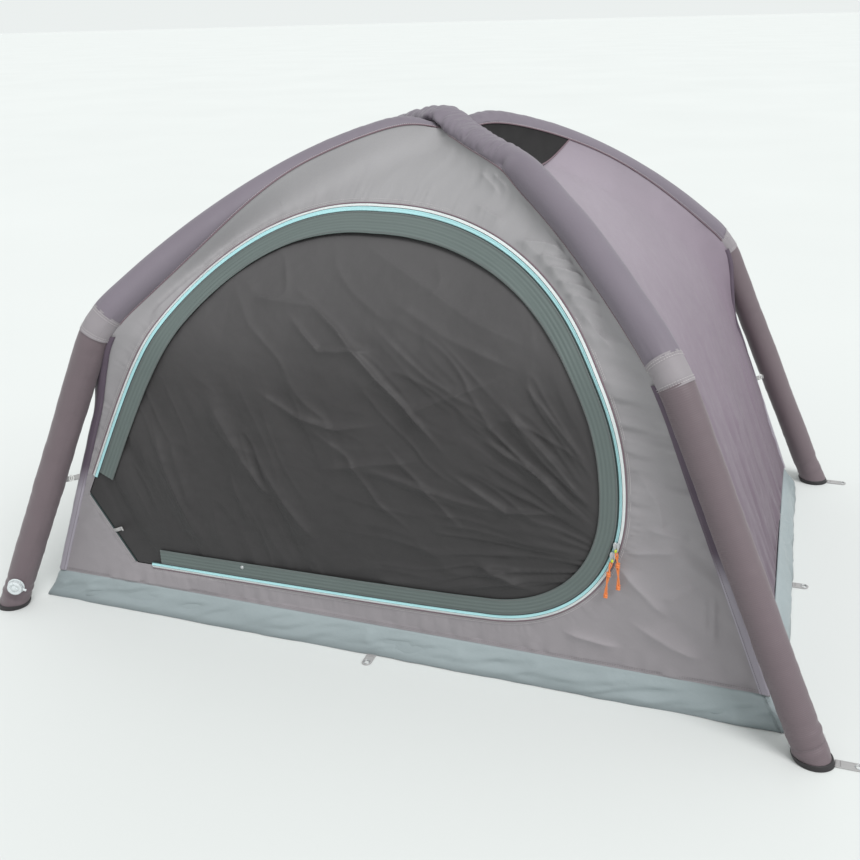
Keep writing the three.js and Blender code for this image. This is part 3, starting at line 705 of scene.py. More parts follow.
def wall_relief(along, z, half, seed):
    """The side and rear panels: fine upright wrinkles, deepest near the corners and the hem."""
    edge = half - np.abs(along)
    relief = 0.0050 * layered(along / 0.30, z / 0.40, seed, 2)
    relief += 0.0006 * layered(along / 0.05, z / 0.05, seed + 2)
    low = 1 - smooth(0.35, 0.80, z)
    lean = along * (1 + 0.25 * (CORNER["z"] - z))
    relief += 0.0030 * (0.35 + low) * noise(lean / 0.034, z / 0.42, seed + 5)
    relief += 0.0026 * low * ridged(lean / 0.050, z / 0.30, seed + 7, 4)
    relief += 0.0022 * noise(along / 0.022, z / 0.09, seed + 9) * np.exp(-(z - HEM) / 0.035)
    relief += 0.0030 * noise(z / 0.045, along / 0.14, seed + 11) * np.exp(-edge / 0.055)
    return 1.3 * relief * smooth(0, 0.012, z - HEM) * smooth(0, 0.02, edge)


def net_relief(along, z, half, seed):
    return 0.002 * layered(along / 0.12, z / 0.03, seed, 2)


# ---- panels ----
def edge_points():
    """The front panel's own edge in x and z: along the hem, up the right side and over to the left."""
    shares = np.linspace(1, 0.0, 160) ** 1.3
    heights = np.concatenate([np.linspace(HEM - 0.004, CORNER["z"], 140), roof_height(shares)[1:]])
    width = np.maximum(half_size("x", np.minimum(heights, PANEL_TOP - 1e-5)), 0)
    right = np.stack([width, heights], -1)
    left = np.stack([-width, heights], -1)[::-1]
    hem = np.stack([np.linspace(-width[0], width[0], 120), np.full(120, heights[0])], -1)
    return np.concatenate([hem, right[1:], left[1:-1]])


def ray_radius(points, centre, angles):
    away = points - centre
    turn = np.arctan2(away[:, 1], away[:, 0])
    order = np.argsort(turn)
    return np.interp(angles, turn[order], np.hypot(*away.T)[order], period=2 * math.pi)


def make_front_panel():
    centre = np.array([-0.06, 0.56])
    edge = edge_points()
    away = np.concatenate([LOOP[::2], edge[::2], edge[[0, 119]]]) - centre
    angles = np.unique(np.round(np.arctan2(away[:, 1], away[:, 0]), 4))
    opening = ray_radius(shifted(LOOP, 0.0012), centre, angles)
    border = ray_radius(edge, centre, angles)
    step = np.linspace(0, 1, 84)
    layer = (0.25 * step + 0.75 * (1 - np.cos(math.pi * step)) / 2)[:, None]
    radius = opening + (border - opening) * layer
    x = centre[0] + radius * np.cos(angles)
    z = np.minimum(centre[1] + radius * np.sin(angles), PANEL_TOP - 0.0004)
    gap, index = OUTLINE.nearest(x, z)
    relief = front_relief(x, z, np.maximum(gap, 0), index, border - radius)
    room, spare = np.maximum(gap - 0.024, 0), np.maximum(border - radius, 0)
    points = flared("front", on_face("front", x, z, relief), x, z, smooth(0, 1, room / (room + spare + 1e-6)))
    panel = grid_piece("front_panel_cloth", points, PANEL, wrap=True, uv=np.stack([x, z], -1),
                       slot="panel", stands_for=["front_panel"])


def make_door_panel():
    spacing = 0.0035
    across = np.arange(-0.862, 0.646, spacing)
    upward = np.arange(0.146, 1.128, spacing)
    x, z = np.meshgrid(across, upward)
    gap, index = OUTLINE.nearest(x, z)
    inside = gap < -0.0035
    quads = grid_faces(*x.shape)
    quads = quads[inside.ravel()[quads].all(1)]
    uses = np.bincount(quads.ravel(), minlength=x.size).reshape(x.shape)
    rim = (uses > 0) & (uses < 4)
    x[rim], z[rim] = shifted(LOOP, -0.0012)[index[rim]].T
    kept = np.flatnonzero(uses.ravel())
    renumber = np.full(x.size, -1)
    renumber[kept] = np.arange(len(kept))
    x, z, gap = x.ravel()[kept], z.ravel()[kept], gap.ravel()[kept]
    points = on_face("front", x, z, door_relief(x, z, -gap))
    door = mesh_piece("door_cloth", points, renumber[quads], np.stack([x, z], -1), DOOR,
                      body="door", slot="door", stands_for=["door_panel"])


def panel_rows():
    ventline = VENT_REACH / CORNER["x"]
    wall = np.linspace(HEM - 0.004, CORNER["z"], 118)[:-1]
    return wall, np.linspace(1, ventline, 60), np.linspace(ventline, 0.012, 40)


FLARED = {"front": (("front_right", 1, -1), ("front_left", -1, 1)),
          "right": (("front_right", 1, 1), ("rear_right", -1, -1)),
          "rear": (("rear_right", -1, 1), ("rear_left", 1, -1)),
          "left": (("rear_left", 1, 1), ("front_left", -1, -1))}


def seam_line(corner, stations, lie, way, deep):
    """Where a panel meets a sleeve: above the beam's widest line near the top, lower towards the knee.

    The deep panels are the front and the rear."""
    point, _, across, over = beam_frames(corner, stations)
    wide, high, shift = beam_size(stations, lie)
    turn = seam_turn(stations, lie, deep)
    aside = across * (way * wide * np.cos(turn))[:, None]
    return point + aside + over * (shift + high * np.sin(turn))[:, None]


def seam_turn(stations, lie, deep):
    t = np.abs(stations)
    if deep:
        start, low, high = (-12, 0.36, 0.50) if lie > 0 else (32, 0.40, 0.95)
        turn = start - (50 + start) * smooth(low, high, t)
    else:
        turn = 14 - 26 * smooth(0.45, 0.97, t)
    crossing = 1 - smooth(0.04, 0.13, t) if lie > 0 else 0
    return np.radians(turn * (1 - crossing) - 65 * crossing)


def flared(face, points, along, z, share=1.0):
    """Lifts a panel's cloth near the beams, up to each sleeve's seam."""
    side = np.cross(UP, FACES[face])
    half = half_size(WIDE[face], z)
    fall = np.clip((PANEL_TOP - z) / (PANEL_TOP - CORNER["z"]), 0, 1)
    station = np.maximum(fall ** (1 / ARCH_POWER), 0.0005)
    height = np.maximum(z, CORNER["z"])
    fade = smooth(0.24, 0.0, CORNER["z"] - z) * share
    moves, weights = [], []
    for name, lie, way in FLARED[face]:
        sign = float(np.dot(CORNERS[name], side[:2]))
        seam = seam_line(CORNERS[name], station.ravel(), lie, way, DEEP[face] == "y").reshape(points.shape)
        base = on_face(face, half_size(WIDE[face], height) * sign, height)
        gap = np.clip(half - along * sign, 0, None)
        weights.append(np.clip(1 - gap / FLARE_REACH, 0, 1) ** 2 * fade)
        moves.append(seam - base)
    total = np.maximum(sum(weights), 1)
    for move, weight in zip(moves, weights):
        points = points + move * (weight / total)[..., None]
    return points


def wall_piece(name, face, heights, count, relief, seed, material, slot, node):
    half = half_size(WIDE[face], heights)[:, None]
    along = half * np.linspace(-1, 1, count)
    z = np.broadcast_to(heights[:, None], along.shape)
    points = flared(face, on_face(face, along, z, relief(along, z, half, seed)), along, z)
    piece = grid_piece(name, points, material, slot=slot, stands_for=[node])
    return points


def make_walls():
    wall, roof, vent = panel_rows()
    heights = np.concatenate([wall, roof_height(roof)])
    for seed, side in ((41, "right"), (61, "left")):
        wall_piece(f"side_cloth_{side}", side, heights, 200, wall_relief, seed, SIDE, "side_panel",
                   f"side_panel_{side}")
        net = wall_piece(f"vent_net_{side}", side, roof_height(vent), 100, net_relief, seed, MESH, "mesh",
                         f"roof_vent_{side}")
        tube(f"vent_seam_{side}", net[0] + 0.0012 * FACES[side], 0.0022, PIPING, sides=8, slot="mesh")
    heights = np.concatenate([heights, roof_height(vent)[1:]])
    wall_piece("rear_panel_cloth", "rear", heights, 260, wall_relief, 81, PANEL, "panel",
               "rear_panel")


# ---- zip, tapes and hinge ----
def strip_on_front(run, offsets, lift):
    """Points and normals of a strip that follows a line on the front, at several distances from it."""
    lines = np.stack([shifted(run, offset) for offset in offsets], 1)
    points, normals = face_frame("front", lines[..., 0], lines[..., 1])
    return points + np.asarray(lift)[..., None] * normals, normals


def tube_on_front(name, run, offset, lift, radius, material, **told):
    line, _ = strip_on_front(run, [offset], np.full((len(run), 1), lift))
    tube(name, line[:, 0], radius, material, sides=8, **told)


def stitch_rows(name, run, offsets, lift, thread, **told):
    for row, offset in enumerate(offsets):
        path, normals = strip_on_front(run, [offset], np.full((len(run), 1), lift))
        stitches(f"{name}_{row + 1}", path[:, 0], normals[:, 0], thread, **told)


def make_zip():
    run = zip_run(ZIP_SPAN, 900)
    wave = 0.0004 * noise(np.arange(900) / 9, 0, 91)[:, None]
    profile = [(1.2, 3.4), (0.5, 5.4), (1.6, 5.6), (2.6, 4.6), (3.4, 3.2), (5.4, 3.0), (7.0, 2.9), (7.5, 0.8)]
    for name, way, cloth, body in (("tent", 1, ZIP_OUTER, "tent"), ("door", -1, ZIP_INNER, "door")):
        offsets = [way * distance / 1000 for distance, _ in profile]
        lifts = np.array([lift / 1000 for _, lift in profile]) + wave
        points, _ = strip_on_front(run, offsets, lifts)
        grid_piece(f"zip_half_{name}", points, cloth, body=body, slot="zip", stands_for=[f"zip_tape_{name}"])
    tube_on_front("zip_fold_tent", run, 0.0092, 0.0018, 0.0017, PIPING, slot="panel")
    # The door tape's edge is a real tube, and its dark teal is painted shadow of the gap beside the tape.
    tube_on_front("zip_edge_shadow_door", run, -0.0088, 0.0022, 0.0018, EDGE_LINE, body="door", slot="guard")
    stitch_rows("zip_stitches", run, (0.0145, 0.0185), 0.0006, THREAD, slot="trim")

    count, cols = 640, 41
    run = zip_run(GUARD_SPAN, count)
    across = np.linspace(-0.0105, -0.0540, cols)
    ripple = 0.0010 * noise(np.arange(count)[:, None] / 7, across * 30, 93)
    lift = 0.0046 + 0.0005 * np.cos(across / 0.010 * 2 * math.pi) + ripple * smooth(-0.03, -0.054, across)
    points, normals = strip_on_front(run, across, lift)
    told = {"body": "door", "slot": "guard"}
    ribbon("guard_tape", (points, normals), 0.0008, GUARD, stands_for=["door_guard_tape"], **told)
    stitch_rows("guard_stitches", run, (-0.0130, -0.0515), 0.0060, THREAD_DARK, wide=0.0009, **told)


def make_hinge():
    share = np.linspace(0.02, 0.98, 60)[:, None]
    line = HINGE[1] + (HINGE[0] - HINGE[1]) * share
    points, normals = strip_on_front(line, np.linspace(-0.003, -0.015, 9), np.full((60, 9), 0.0006))
    ribbon("hinge_tape", (points, normals), 0.0014, PANEL, slot="panel", stands_for=["hinge_seam"])
    tube_on_front("hinge_piping", line, -0.0015, 0.0012, 0.0019, EDGE_LINE, slot="panel")
    stitch_rows("hinge_stitches", line, (-0.0055, -0.0125), 0.0022, THREAD, slot="panel")

    start = HINGE[1] + (HINGE[0] - HINGE[1]) * 0.535
    lead = unit(np.array([0.9, 0.42]))
    side = np.array([-lead[1], lead[0]])
    reach = np.linspace(-0.004, 0.040, 24)
    rise = 0.003 + 0.012 * smooth(0, 0.04, reach) + 0.003 * np.sin(reach * 160)
    across = np.linspace(-0.0055, 0.0055, 7)
    flat = start + reach[:, None, None] * lead + across[None, :, None] * side
    points, normals = face_frame("front", flat[..., 0], flat[..., 1])
    ribbon("tie_back_loop", (points + rise[:, None, None] * normals, normals), 0.0016, WEBBING,
           body="door", slot="webbing", stands_for=["tie_back_tab"])
    bar = points[-2, 3] + (rise[-1] + 0.0015) * normals[-2, 3]
    lean = points[-2, 6] - points[-2, 0]
    toggle = [bar - lean * 0.5, bar, bar + lean * 0.5]
    tube("tie_back_toggle", toggle, 0.0022, WEBBING, body="door", slot="webbing")


# ---- lathe work: snap, valves ----
def lathe(name, profile, place, material, sides=64, grip=0.0, grip_count=24, **told):
    """Turns a profile of radius and height pairs, in mm, round the Z axis of a placement."""
    profile = np.array(profile, float) / 1000
    angle = full_turn(sides)
    wave = 1 + grip * (np.cos(grip_count * angle) > 0.2) * (profile[:, :1] > 0.8 * profile[:, 0].max())
    radius = profile[:, :1] * wave
    heights = np.broadcast_to(profile[:, 1:], radius.shape)
    local = np.stack([radius * np.cos(angle), radius * np.sin(angle), heights], -1)
    turn, origin = place
    return grid_piece(name, local @ turn + origin, material, wrap=True, **told)


def make_snap():
    run = LOOP[len(ZIP_LINE) - 1 - round(0.09 * len(ZIP_LINE))]
    point, normal = face_frame("front", run[0], run[1] + 0.040)
    side = unit(np.cross(UP, normal))
    place = (np.stack([side, np.cross(normal, side), normal]), point + 0.0052 * normal)
    lathe("guard_snap", [(5.2, 0), (5.4, 0.8), (4.8, 1.4), (3.2, 1.5), (2.8, 2.6), (2.2, 3.0), (0.05, 3.1)],
          place, METAL, body="door", slot="guard")


def make_valve(name, out_x, out_y):
    corner = CORNERS[name]
    point, tangent, _, _ = [v[0] for v in beam_frames(corner, [2 - VALVE_HEIGHT / KNEE[2]])]
    out = np.array([out_x, out_y, 0.0])
    out = unit(out - tangent * (out @ tangent))
    leg_up = -tangent
    side = np.cross(leg_up, out)
    place = (np.stack([side, leg_up, out]), point + (SLEEVE_R + 0.0005) * out)
    lathe(f"valve_seat_{name}", [(10.5, 0), (24, 0), (24.2, 1.2), (23.4, 2.6), (21, 3), (16, 3.1), (15.2, 3.8),
          (15, 11.4), (14.2, 12), (11.2, 12), (10.5, 11.4), (10.5, 0)], place, VALVE,
          slot="valve", stands_for=[f"valve_body_{name}"])
    lathe(f"valve_lid_{name}", [(0.05, 12.8), (16.6, 12.8), (17, 12.2), (17, 4.6), (17.6, 4.2), (20.4, 4.2),
          (21, 5), (21, 14.6), (20.2, 16.4), (18, 17.4), (12, 17.5), (11.4, 16.6), (10.4, 16.6), (9.8, 17.5),
          (0.05, 17.6)], place, VALVE, sides=144, grip=-0.035, body=f"cap_{name}", slot="valve",
          stands_for=[f"valve_cap_{name}"])
    reach = np.linspace(0.0175, 0.031, 16)[:, None]
    across = np.linspace(-0.0045, 0.0045, 5)[None]
    local = np.stack(np.broadcast_arrays(reach, across, 0.0058 - 0.05 * (reach - 0.0175)), -1)
    turn, origin = place
    points = local @ turn + origin
    ribbon(f"valve_strap_{name}", (points, np.broadcast_to(out, points.shape)), 0.0018, VALVE,
           body=f"cap_{name}", slot="valve")


# ---- sliders and their cord pulls ----
def slider_place(name):
    near = np.abs(ZIP_LINE[:, 1] - SLIDER_HEIGHT[name]) + (ZIP_LINE[:, 0] < 0)
    x, z = ZIP_LINE[near.argmin()]
    return on_face("front", x, z, SLIDER_LOW)


def pull_route(name, lean):
    """The pull's route: one bend from below the slider, hanging at a small lean."""
    start = slider_place(name) + np.array([lean * 0.002, -SLIDER_DEEP - 0.004, -SLIDER_LONG / 2 - 0.0004])
    swing = np.array([lean * 0.009, -0.003, -PULL_LENGTH])
    middle = start + swing / 2 + np.array([lean * 0.004, 0, 0])
    u = np.linspace(0, 1, 24)[:, None]
    return start * (1 - u) ** 2 + 2 * middle * u * (1 - u) + (start + swing) * u**2


def make_pull(name, lean):
    route = pull_route(name, lean)
    body = f"pull_{name}"
    twist = np.linspace(0, 2.4 * math.pi, 90)[:, None]
    line = resample(route, 90)
    across, over = np.array([1.0, 0, 0.1 * lean]), np.array([0, 1.0, 0])
    swell = 0.0019 + 0.0010 * np.exp(-((np.linspace(0, 1, 90)[:, None] - 0.1) / 0.08) ** 2)
    strands = []
    for way in (1, -1):
        strand = line + way * swell * (across * np.cos(twist) + over * np.sin(twist) * 0.5)
        strands.append(tube(f"pull_strand_{name}_{way}", strand, 0.0019, CORD, body=body, slot="cord"))
    bpy.ops.object.select_all(action="DESELECT")
    for strand in strands:
        strand.select_set(True)
    bpy.context.view_layer.objects.active = strands[0]
    bpy.ops.object.join()
    cord = strands[0]
    cord.name = f"pull_cord_{name}"
    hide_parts(f"zip_pull_{name}")
    for part, at, size in (("knot", 8, 0.0048), ("end", 22, 0.0046)):
        turn = np.linspace(0, 5 * math.pi, 60)
        round_it = size * 0.62
        rise = np.linspace(0.006, -0.006, 60) + 0.001 * np.sin(3 * turn)
        coil = route[at] + np.stack([round_it * np.cos(turn), round_it * np.sin(turn), rise], -1)
        tube(f"pull_{part}_{name}", coil, 0.0023, CORD, sides=10, body=body, slot="cord")


def make_slider(name):
    base = slider_place(name)
    long, wide = SLIDER_LONG / 2, 0.0075
    outline = [(0.55, -1), (0.8, -0.4), (1, 0.35), (0.95, 0.7), (0.7, 1), (0.25, 0.93), (-0.25, 0.93),
               (-0.7, 1), (-0.95, 0.7), (-1, 0.35), (-0.8, -0.4), (-0.55, -1)]
    outline = resample(np.array(outline + outline[:1]) * [wide, long], 73)[:-1]
    levels = [(0.2, 0), (0.94, 0), (1, 0.0006), (1, 0.0018), (0.86, 0.0020), (0.86, 0.0031), (1, 0.0033),
              (1, 0.0045), (0.94, 0.0051), (0.5, 0.0053), (0.05, 0.0053)]
    rings = [np.stack([outline[:, 0] * s, np.full(72, -deep), outline[:, 1] * s], -1) for s, deep in levels]
    grid_piece(f"slider_body_{name}", np.stack(rings) + base, METAL, wrap=True, body=f"slider_{name}",
               slot="slider", stands_for=[f"zip_slider_{name}"])
    swing = np.linspace(0, math.pi, 20)[:, None]
    middle = base + np.array([0, -0.0050, 0.001])
    bridge = middle + np.cos(swing) * [0, 0, 0.0085] - np.sin(swing) * [0, 0.0036, 0]
    tube(f"slider_bridge_{name}", bridge, 0.0012, METAL, sides=10, body=f"slider_{name}", slot="slider")
    bead = base + np.array([0, -0.0092, -0.0075])
    half = np.array([0, 0, 0.0028])
    tube(f"slider_bead_{name}", [bead + half, bead, bead - half], [0.0026, 0.0033, 0.0026], BEAD,
         sides=20, body=f"pull_{name}", slot="slider")


# ---- sleeves, cuffs, legs and feet ----
def sleeve_relief(stations, run, turn, loose):
    """Puckers across the sleeve near the crossing, and soft dents further down."""
    t = np.abs(stations)[:, None]
    slack = loose * (1 - smooth(0.28, 0.38, t)) + 0.25 * (1 - smooth(0.02, 0.20, t))
    relief = 0.0030 * slack * noise(run[:, None] / 0.013 + 0.8 * np.sin(turn * 1.5), turn / 0.8, 101)
    relief += 0.0014 * slack * noise(run[:, None] / 0.006, turn / 0.5, 102)
    relief += 0.0014 * noise(run[:, None] / 0.11, turn / 1.3, 103)
    hem = np.exp(-(CUFF[0] - t) / 0.025)
    relief += 0.0016 * hem * noise(run[:, None] / 0.05, turn / 0.22, 104)
    return relief


def make_sleeve(name, corner, stations, lie, loose, node):
    frames = beam_frames(corner, stations)
    point, _, _, over = frames
    wide, high, shift = beam_size(stations, lie)
    left_deep = (stations > 0) & (lie > 0)
    turns = [seam_turn(stations, lie, True), seam_turn(stations, lie, False)]
    start = math.pi - np.where(left_deep, turns[0], turns[1])
    end = np.where(left_deep, turns[1], turns[0])
    share = np.linspace(0, 1, 72)
    angle = start[:, None] * (1 - share) + end[:, None] * share
    run = distance_along(point)
    relief = sleeve_relief(stations, run, angle, loose)
    if lie > 0:
        pinch = np.exp(-(((stations - PINCH) / 0.012) ** 2))[:, None]
        puff = np.exp(-(((stations - PUFF) / 0.014) ** 2))[:, None]
        relief = relief - 0.008 * pinch * np.exp(-(((angle - math.radians(190)) / 0.7) ** 2))
        relief += 0.004 * puff * smooth(1.9, 3.0, angle)
    relief = relief * smooth(0, 0.08, share) * smooth(1, 0.92, share) + 0.0012
    sideways = (wide[:, None] + relief) * np.cos(angle)
    points = around_beam(frames, sideways, (high[:, None] + relief) * np.sin(angle) + shift[:, None])
    around = distance_along(points[len(points) // 2])
    uv = np.stack(np.broadcast_arrays(run[:, None], around[None]), -1)
    piece = grid_piece(name, points, SLEEVE, uv=uv, slot="sleeve", stands_for=[node])
    for way, edge in (("a", 0), ("b", -1)):
        seam, inner = points[:, edge], points[:, 2 if edge == 0 else -3]
        normal = unit(seam - point - over * shift[:, None])
        tube(f"{name}_piping_{way}", seam + normal * 0.0004, 0.0019, PIPING, sides=8, slot="sleeve")
        stitches(f"{name}_stitches_{way}", inner + normal * 0.0012, normal, THREAD, wide=0.0009, slot="trim")


def make_bladders():
    """The air beams inside the sleeves and legs."""
    for name, corner, lie in (("main", "front_right", 1), ("cross", "front_left", -1)):
        stations = np.linspace(-1.92, 1.92, 400)
        wide, high, shift = beam_size(stations, lie)
        turn = full_turn(32)
        sideways = (BLADDER_SHARE * wide)[:, None] * np.cos(turn)
        upward = (BLADDER_SHARE * high)[:, None] * np.sin(turn) + shift[:, None]
        points = around_beam(beam_frames(CORNERS[corner], stations), sideways, upward)
        grid_piece(f"air_beam_film_{name}", points, BLADDER, wrap=True, slot="bladder",
                   stands_for=[f"air_beam_{name}"])


def make_sleeves():
    end = CUFF[0] + 0.004
    whole = np.linspace(-end, end, 420)
    make_sleeve("sleeve_cloth_main", CORNERS["front_right"], whole, 1, 1.0, "sleeve_main")
    half = np.linspace(0.004, end, 205)
    make_sleeve("sleeve_cloth_front_left", CORNERS["front_left"], half, -1, 0.3, "sleeve_front_left")
    make_sleeve("sleeve_cloth_rear_right", CORNERS["rear_right"], half, -1, 0.3, "sleeve_rear_right")


def beam_tube(name, corner, stations, radius, material, relief, sides=72, level=None, **told):
    """A tube round a stretch of beam. With a level it ends there, cut parallel to the ground."""
    frames = beam_frames(corner, stations)
    point, tangent, _, _ = frames
    angle = full_turn(sides)
    points = around_beam(frames, (radius + relief) * np.cos(angle), (radius + relief) * np.sin(angle))
    if level is not None:
        lowest = level + 0.05 * (stations[-1] - stations)[:, None]
        lift = np.maximum(lowest - points[..., 2], 0) / tangent[:, 2:]
        points = points + tangent[:, None] * lift[..., None]
    run = distance_along(point)
    uv = np.stack(np.broadcast_arrays(run[:, None], SLEEVE_R * angle[None]), -1)
    return grid_piece(name, points, material, wrap=True, uv=uv, **told)


def ring_stitches(name, corner, station, radius, material=THREAD):
    point, _, across, over = [v[0] for v in beam_frames(corner, [station])]
    angle = np.linspace(0, 2 * math.pi, 97)[:, None]
    normal = across * np.cos(angle) + over * np.sin(angle)
    stitches(name, point + normal * radius, normal, material, slot="trim")


def make_leg(name, corner):
    seed = 110 + list(CORNERS).index(name) * 10
    angle = full_turn(72)[None]
    wrap = np.abs(np.sin(angle / 2)) * 2
    stations = np.linspace(CUFF[0], CUFF[1], 60)
    t = stations[:, None]
    rolled = 0.0009 * (np.exp(-(((t - CUFF[0]) / 0.006) ** 2)) + np.exp(-(((CUFF[1] - t) / 0.006) ** 2)))
    under = np.cos(angle + 0.6) < -0.1
    crease = 0.0010 * noise(t / 0.03, wrap / 0.35, seed)
    crease = crease + 0.0016 * noise(t / 0.012, wrap / 1.1, seed + 1) * under
    beam_tube(f"cuff_cloth_{name}", corner, stations, CUFF_R, CUFF_CLOTH, rolled + crease, slot="cuff",
              stands_for=[f"knee_cuff_{name}"])
    for row, station in enumerate((CUFF[0] + 0.005, CUFF[0] + 0.010, CUFF[1] - 0.010, CUFF[1] - 0.005)):
        ring_stitches(f"cuff_stitches_{name}_{row + 1}", corner, station, CUFF_R + 0.0010)
    for row, turn in enumerate((0.30, 0.44) if corner[0] * corner[1] < 0 else (math.pi - 0.30, math.pi - 0.44)):
        path = np.linspace(CUFF[0] + 0.012, CUFF[1] - 0.012, 30)
        point, _, across, over = beam_frames(corner, path)
        normal = across * math.cos(turn) + over * math.sin(turn)
        line = point + normal * (CUFF_R + 0.0008)
        stitches(f"cuff_side_stitches_{name}_{row + 1}", line, normal, THREAD, slot="trim")
    stations = np.linspace(CUFF[1] - 0.006, 2.02, 260)
    t = stations[:, None]
    dents = 0.0011 * noise(t / 0.09, wrap / 0.6, seed + 2) + 0.0006 * noise(t / 0.02, wrap / 1.2, seed + 3)
    dents += 0.0022 * noise(t / 0.016, wrap / 0.9, seed + 4) * smooth(1.86, 1.92, t)
    beam_tube(f"leg_cloth_{name}", corner, stations, SLEEVE_R, LEG, dents, level=FOOT_TRIM - 0.004,
              slot="leg", stands_for=[f"leg_cover_{name}"])

    point, tangent, across, over = [v[0] for v in beam_frames(corner, [1.96])]
    turn = full_turn(96)[:, None]
    spoke = across * np.cos(turn) + over * np.sin(turn)

    def level_ring(radius, height):
        ring = point + spoke * radius
        return ring + tangent * ((height - ring[:, 2:]) / tangent[2])

    brim = ((0.0396, FOOT_TRIM - 0.001), (0.0412, FOOT_TRIM), (0.0424, FOOT_TRIM - 0.001))
    rings = [level_ring(radius, height) for radius, height in brim]
    for share in np.linspace(0.1, 0.94, 8):
        soft = 0.0006 * noise(turn / 0.25, share * 5, seed + 6) * math.sin(math.pi * share)
        rings.append(level_ring(0.0428 + soft, (FOOT_TRIM - 0.001) * (1 - share)))
    sole = level_ring(0.0426, 0.0002)
    middle = sole.mean(0)
    for inset in (0.985, 0.94, 0.6, 0.02):
        rings.append(middle + (sole - middle) * inset)
    grid_piece(f"foot_cap_cloth_{name}", np.stack(rings), TRIM, wrap=True, slot="trim",
               stands_for=[f"foot_cap_{name}"])
    ring_stitches(f"foot_stitches_{name}", corner, 1.95, 0.0412, THREAD_DARK)


def corner_faces(corner):
    long_face = "rear" if corner[1] > 0 else "front"
    short_face = "right" if corner[0] > 0 else "left"
    return long_face, short_face


def make_corner_strip(name, corner):
    """A folded tape down the tent's corner, on both of the faces that meet there."""
    z = np.linspace(HEM + 0.002, CORNER["z"] - 0.012, 150)
    x, y = half_size("x", z), half_size("y", z)
    wave = 0.0010 * noise(z / 0.035, 0, 131)
    columns = []
    for face, size, axis in zip(corner_faces(corner), (x, y), (0, 1)):
        side = np.cross(UP, FACES[face])
        way = corner[axis] * side[axis]
        reach = np.array([0.022, 0.0215, 0.015, 0.009, 0.004, 0.001])
        taper = (0.55 + 0.45 * smooth(0.0, 0.25, CORNER["z"] - z))[:, None]
        along = (size[:, None] - reach[None] * taper) * way
        lift = np.array([0.0002, 0.0052, 0.0058, 0.0058, 0.0058, 0.0046])[None] + wave[:, None]
        rows = np.broadcast_to(z[:, None], along.shape)
        grid = flared(face, on_face(face, along, rows, lift), along, rows)
        columns.append(grid if axis == 0 else grid[:, ::-1])
    points = np.concatenate(columns, 1)
    uv = metric_uv(points)[..., ::-1]
    grid_piece(f"corner_tape_{name}", points, STRIP, uv=uv, slot="strip", stands_for=[f"corner_strip_{name}"])
    for k, (face, size, axis) in enumerate(zip(corner_faces(corner), (x, y), (0, 1))):
        side = np.cross(UP, FACES[face])
        line, normal = face_frame(face, (size - 0.0165) * corner[axis] * side[axis], z)
        raised = line + 0.0064 * normal
        stitches(f"corner_stitches_{name}_{k + 1}", raised[:118], normal[:118], THREAD_DARK, slot="strip")


# ---- webbing, hooks and loops ----
TAB_SECTION = [(0, 0.2), (0.03, 0.9), (0.12, 1), (0.5, 1), (0.9, 1), (0.98, 0.9), (1, 0.5), (0.98, 0.1),
               (0.5, 0), (0.03, 0.05), (0, 0.2)]


def make_tab(name, long, wide, thick, hole, turn, origin, node):
    """A flat tab with a round end and an eyelet, from its root at the origin out along +X."""
    centre = long - wide / 2
    angle = full_turn(72)
    to_side = wide / 2 / np.maximum(np.abs(np.sin(angle)), 1e-6)
    to_root = centre / np.maximum(-np.cos(angle), 1e-6)
    outer = np.where(np.cos(angle) < 0, np.minimum(to_side, to_root), wide / 2)

    def ring(turned, radius, height):
        flat = [centre + radius * np.cos(turned), radius * np.sin(turned)]
        return np.stack([*flat, np.full(len(turned), height)], -1)

    rings = [ring(angle, hole + (outer - hole) * share, thick * height) for share, height in TAB_SECTION]
    local = np.stack(rings)
    grid_piece(name, local @ turn + origin, WEBBING, wrap=True, uv=local[..., :2], slot="webbing",
               stands_for=[node])
    rim = ring(np.linspace(0, 2 * math.pi, 49), hole + 0.0009, thick) @ turn + origin
    tube(f"{name}_eyelet_1", rim, 0.0011, METAL, sides=10, caps=False, slot="webbing")
    for k, share in enumerate((0.10, 0.24)):
        row = np.stack([np.full(14, long * share), np.linspace(-0.42, 0.42, 14) * wide, np.full(14, thick)], -1)
        up = np.broadcast_to(UP @ turn, row.shape)
        stitches(f"{name}_stitches_{k + 1}", row @ turn + origin, up, THREAD_DARK, pitch=0.0034, long=0.0026,
                 slot="webbing")


def flat_turn(angle):
    c, s = math.cos(angle), math.sin(angle)
    return np.array([[c, s, 0], [-s, c, 0], [0, 0, 1]])


def make_tabs():
    for name, (sx, sy) in CORNERS.items():
        turn = flat_turn(0 if sx > 0 else math.pi)
        origin = np.array([sx * (FOOT[0] + 0.040), sy * FOOT[1], 0.0])
        make_tab(f"foot_loop_{name}", 0.069, 0.026, 0.0025, 0.007, turn, origin, f"foot_peg_loop_{name}")
    for name, out in FACES.items():
        turn = flat_turn(math.atan2(out[1], out[0]))
        origin = out * (TUB[DEEP[name]] - 0.004)
        make_tab(f"floor_loop_{name}", 0.0496, 0.026, 0.0025, 0.007, turn, origin, f"floor_peg_loop_{name}")


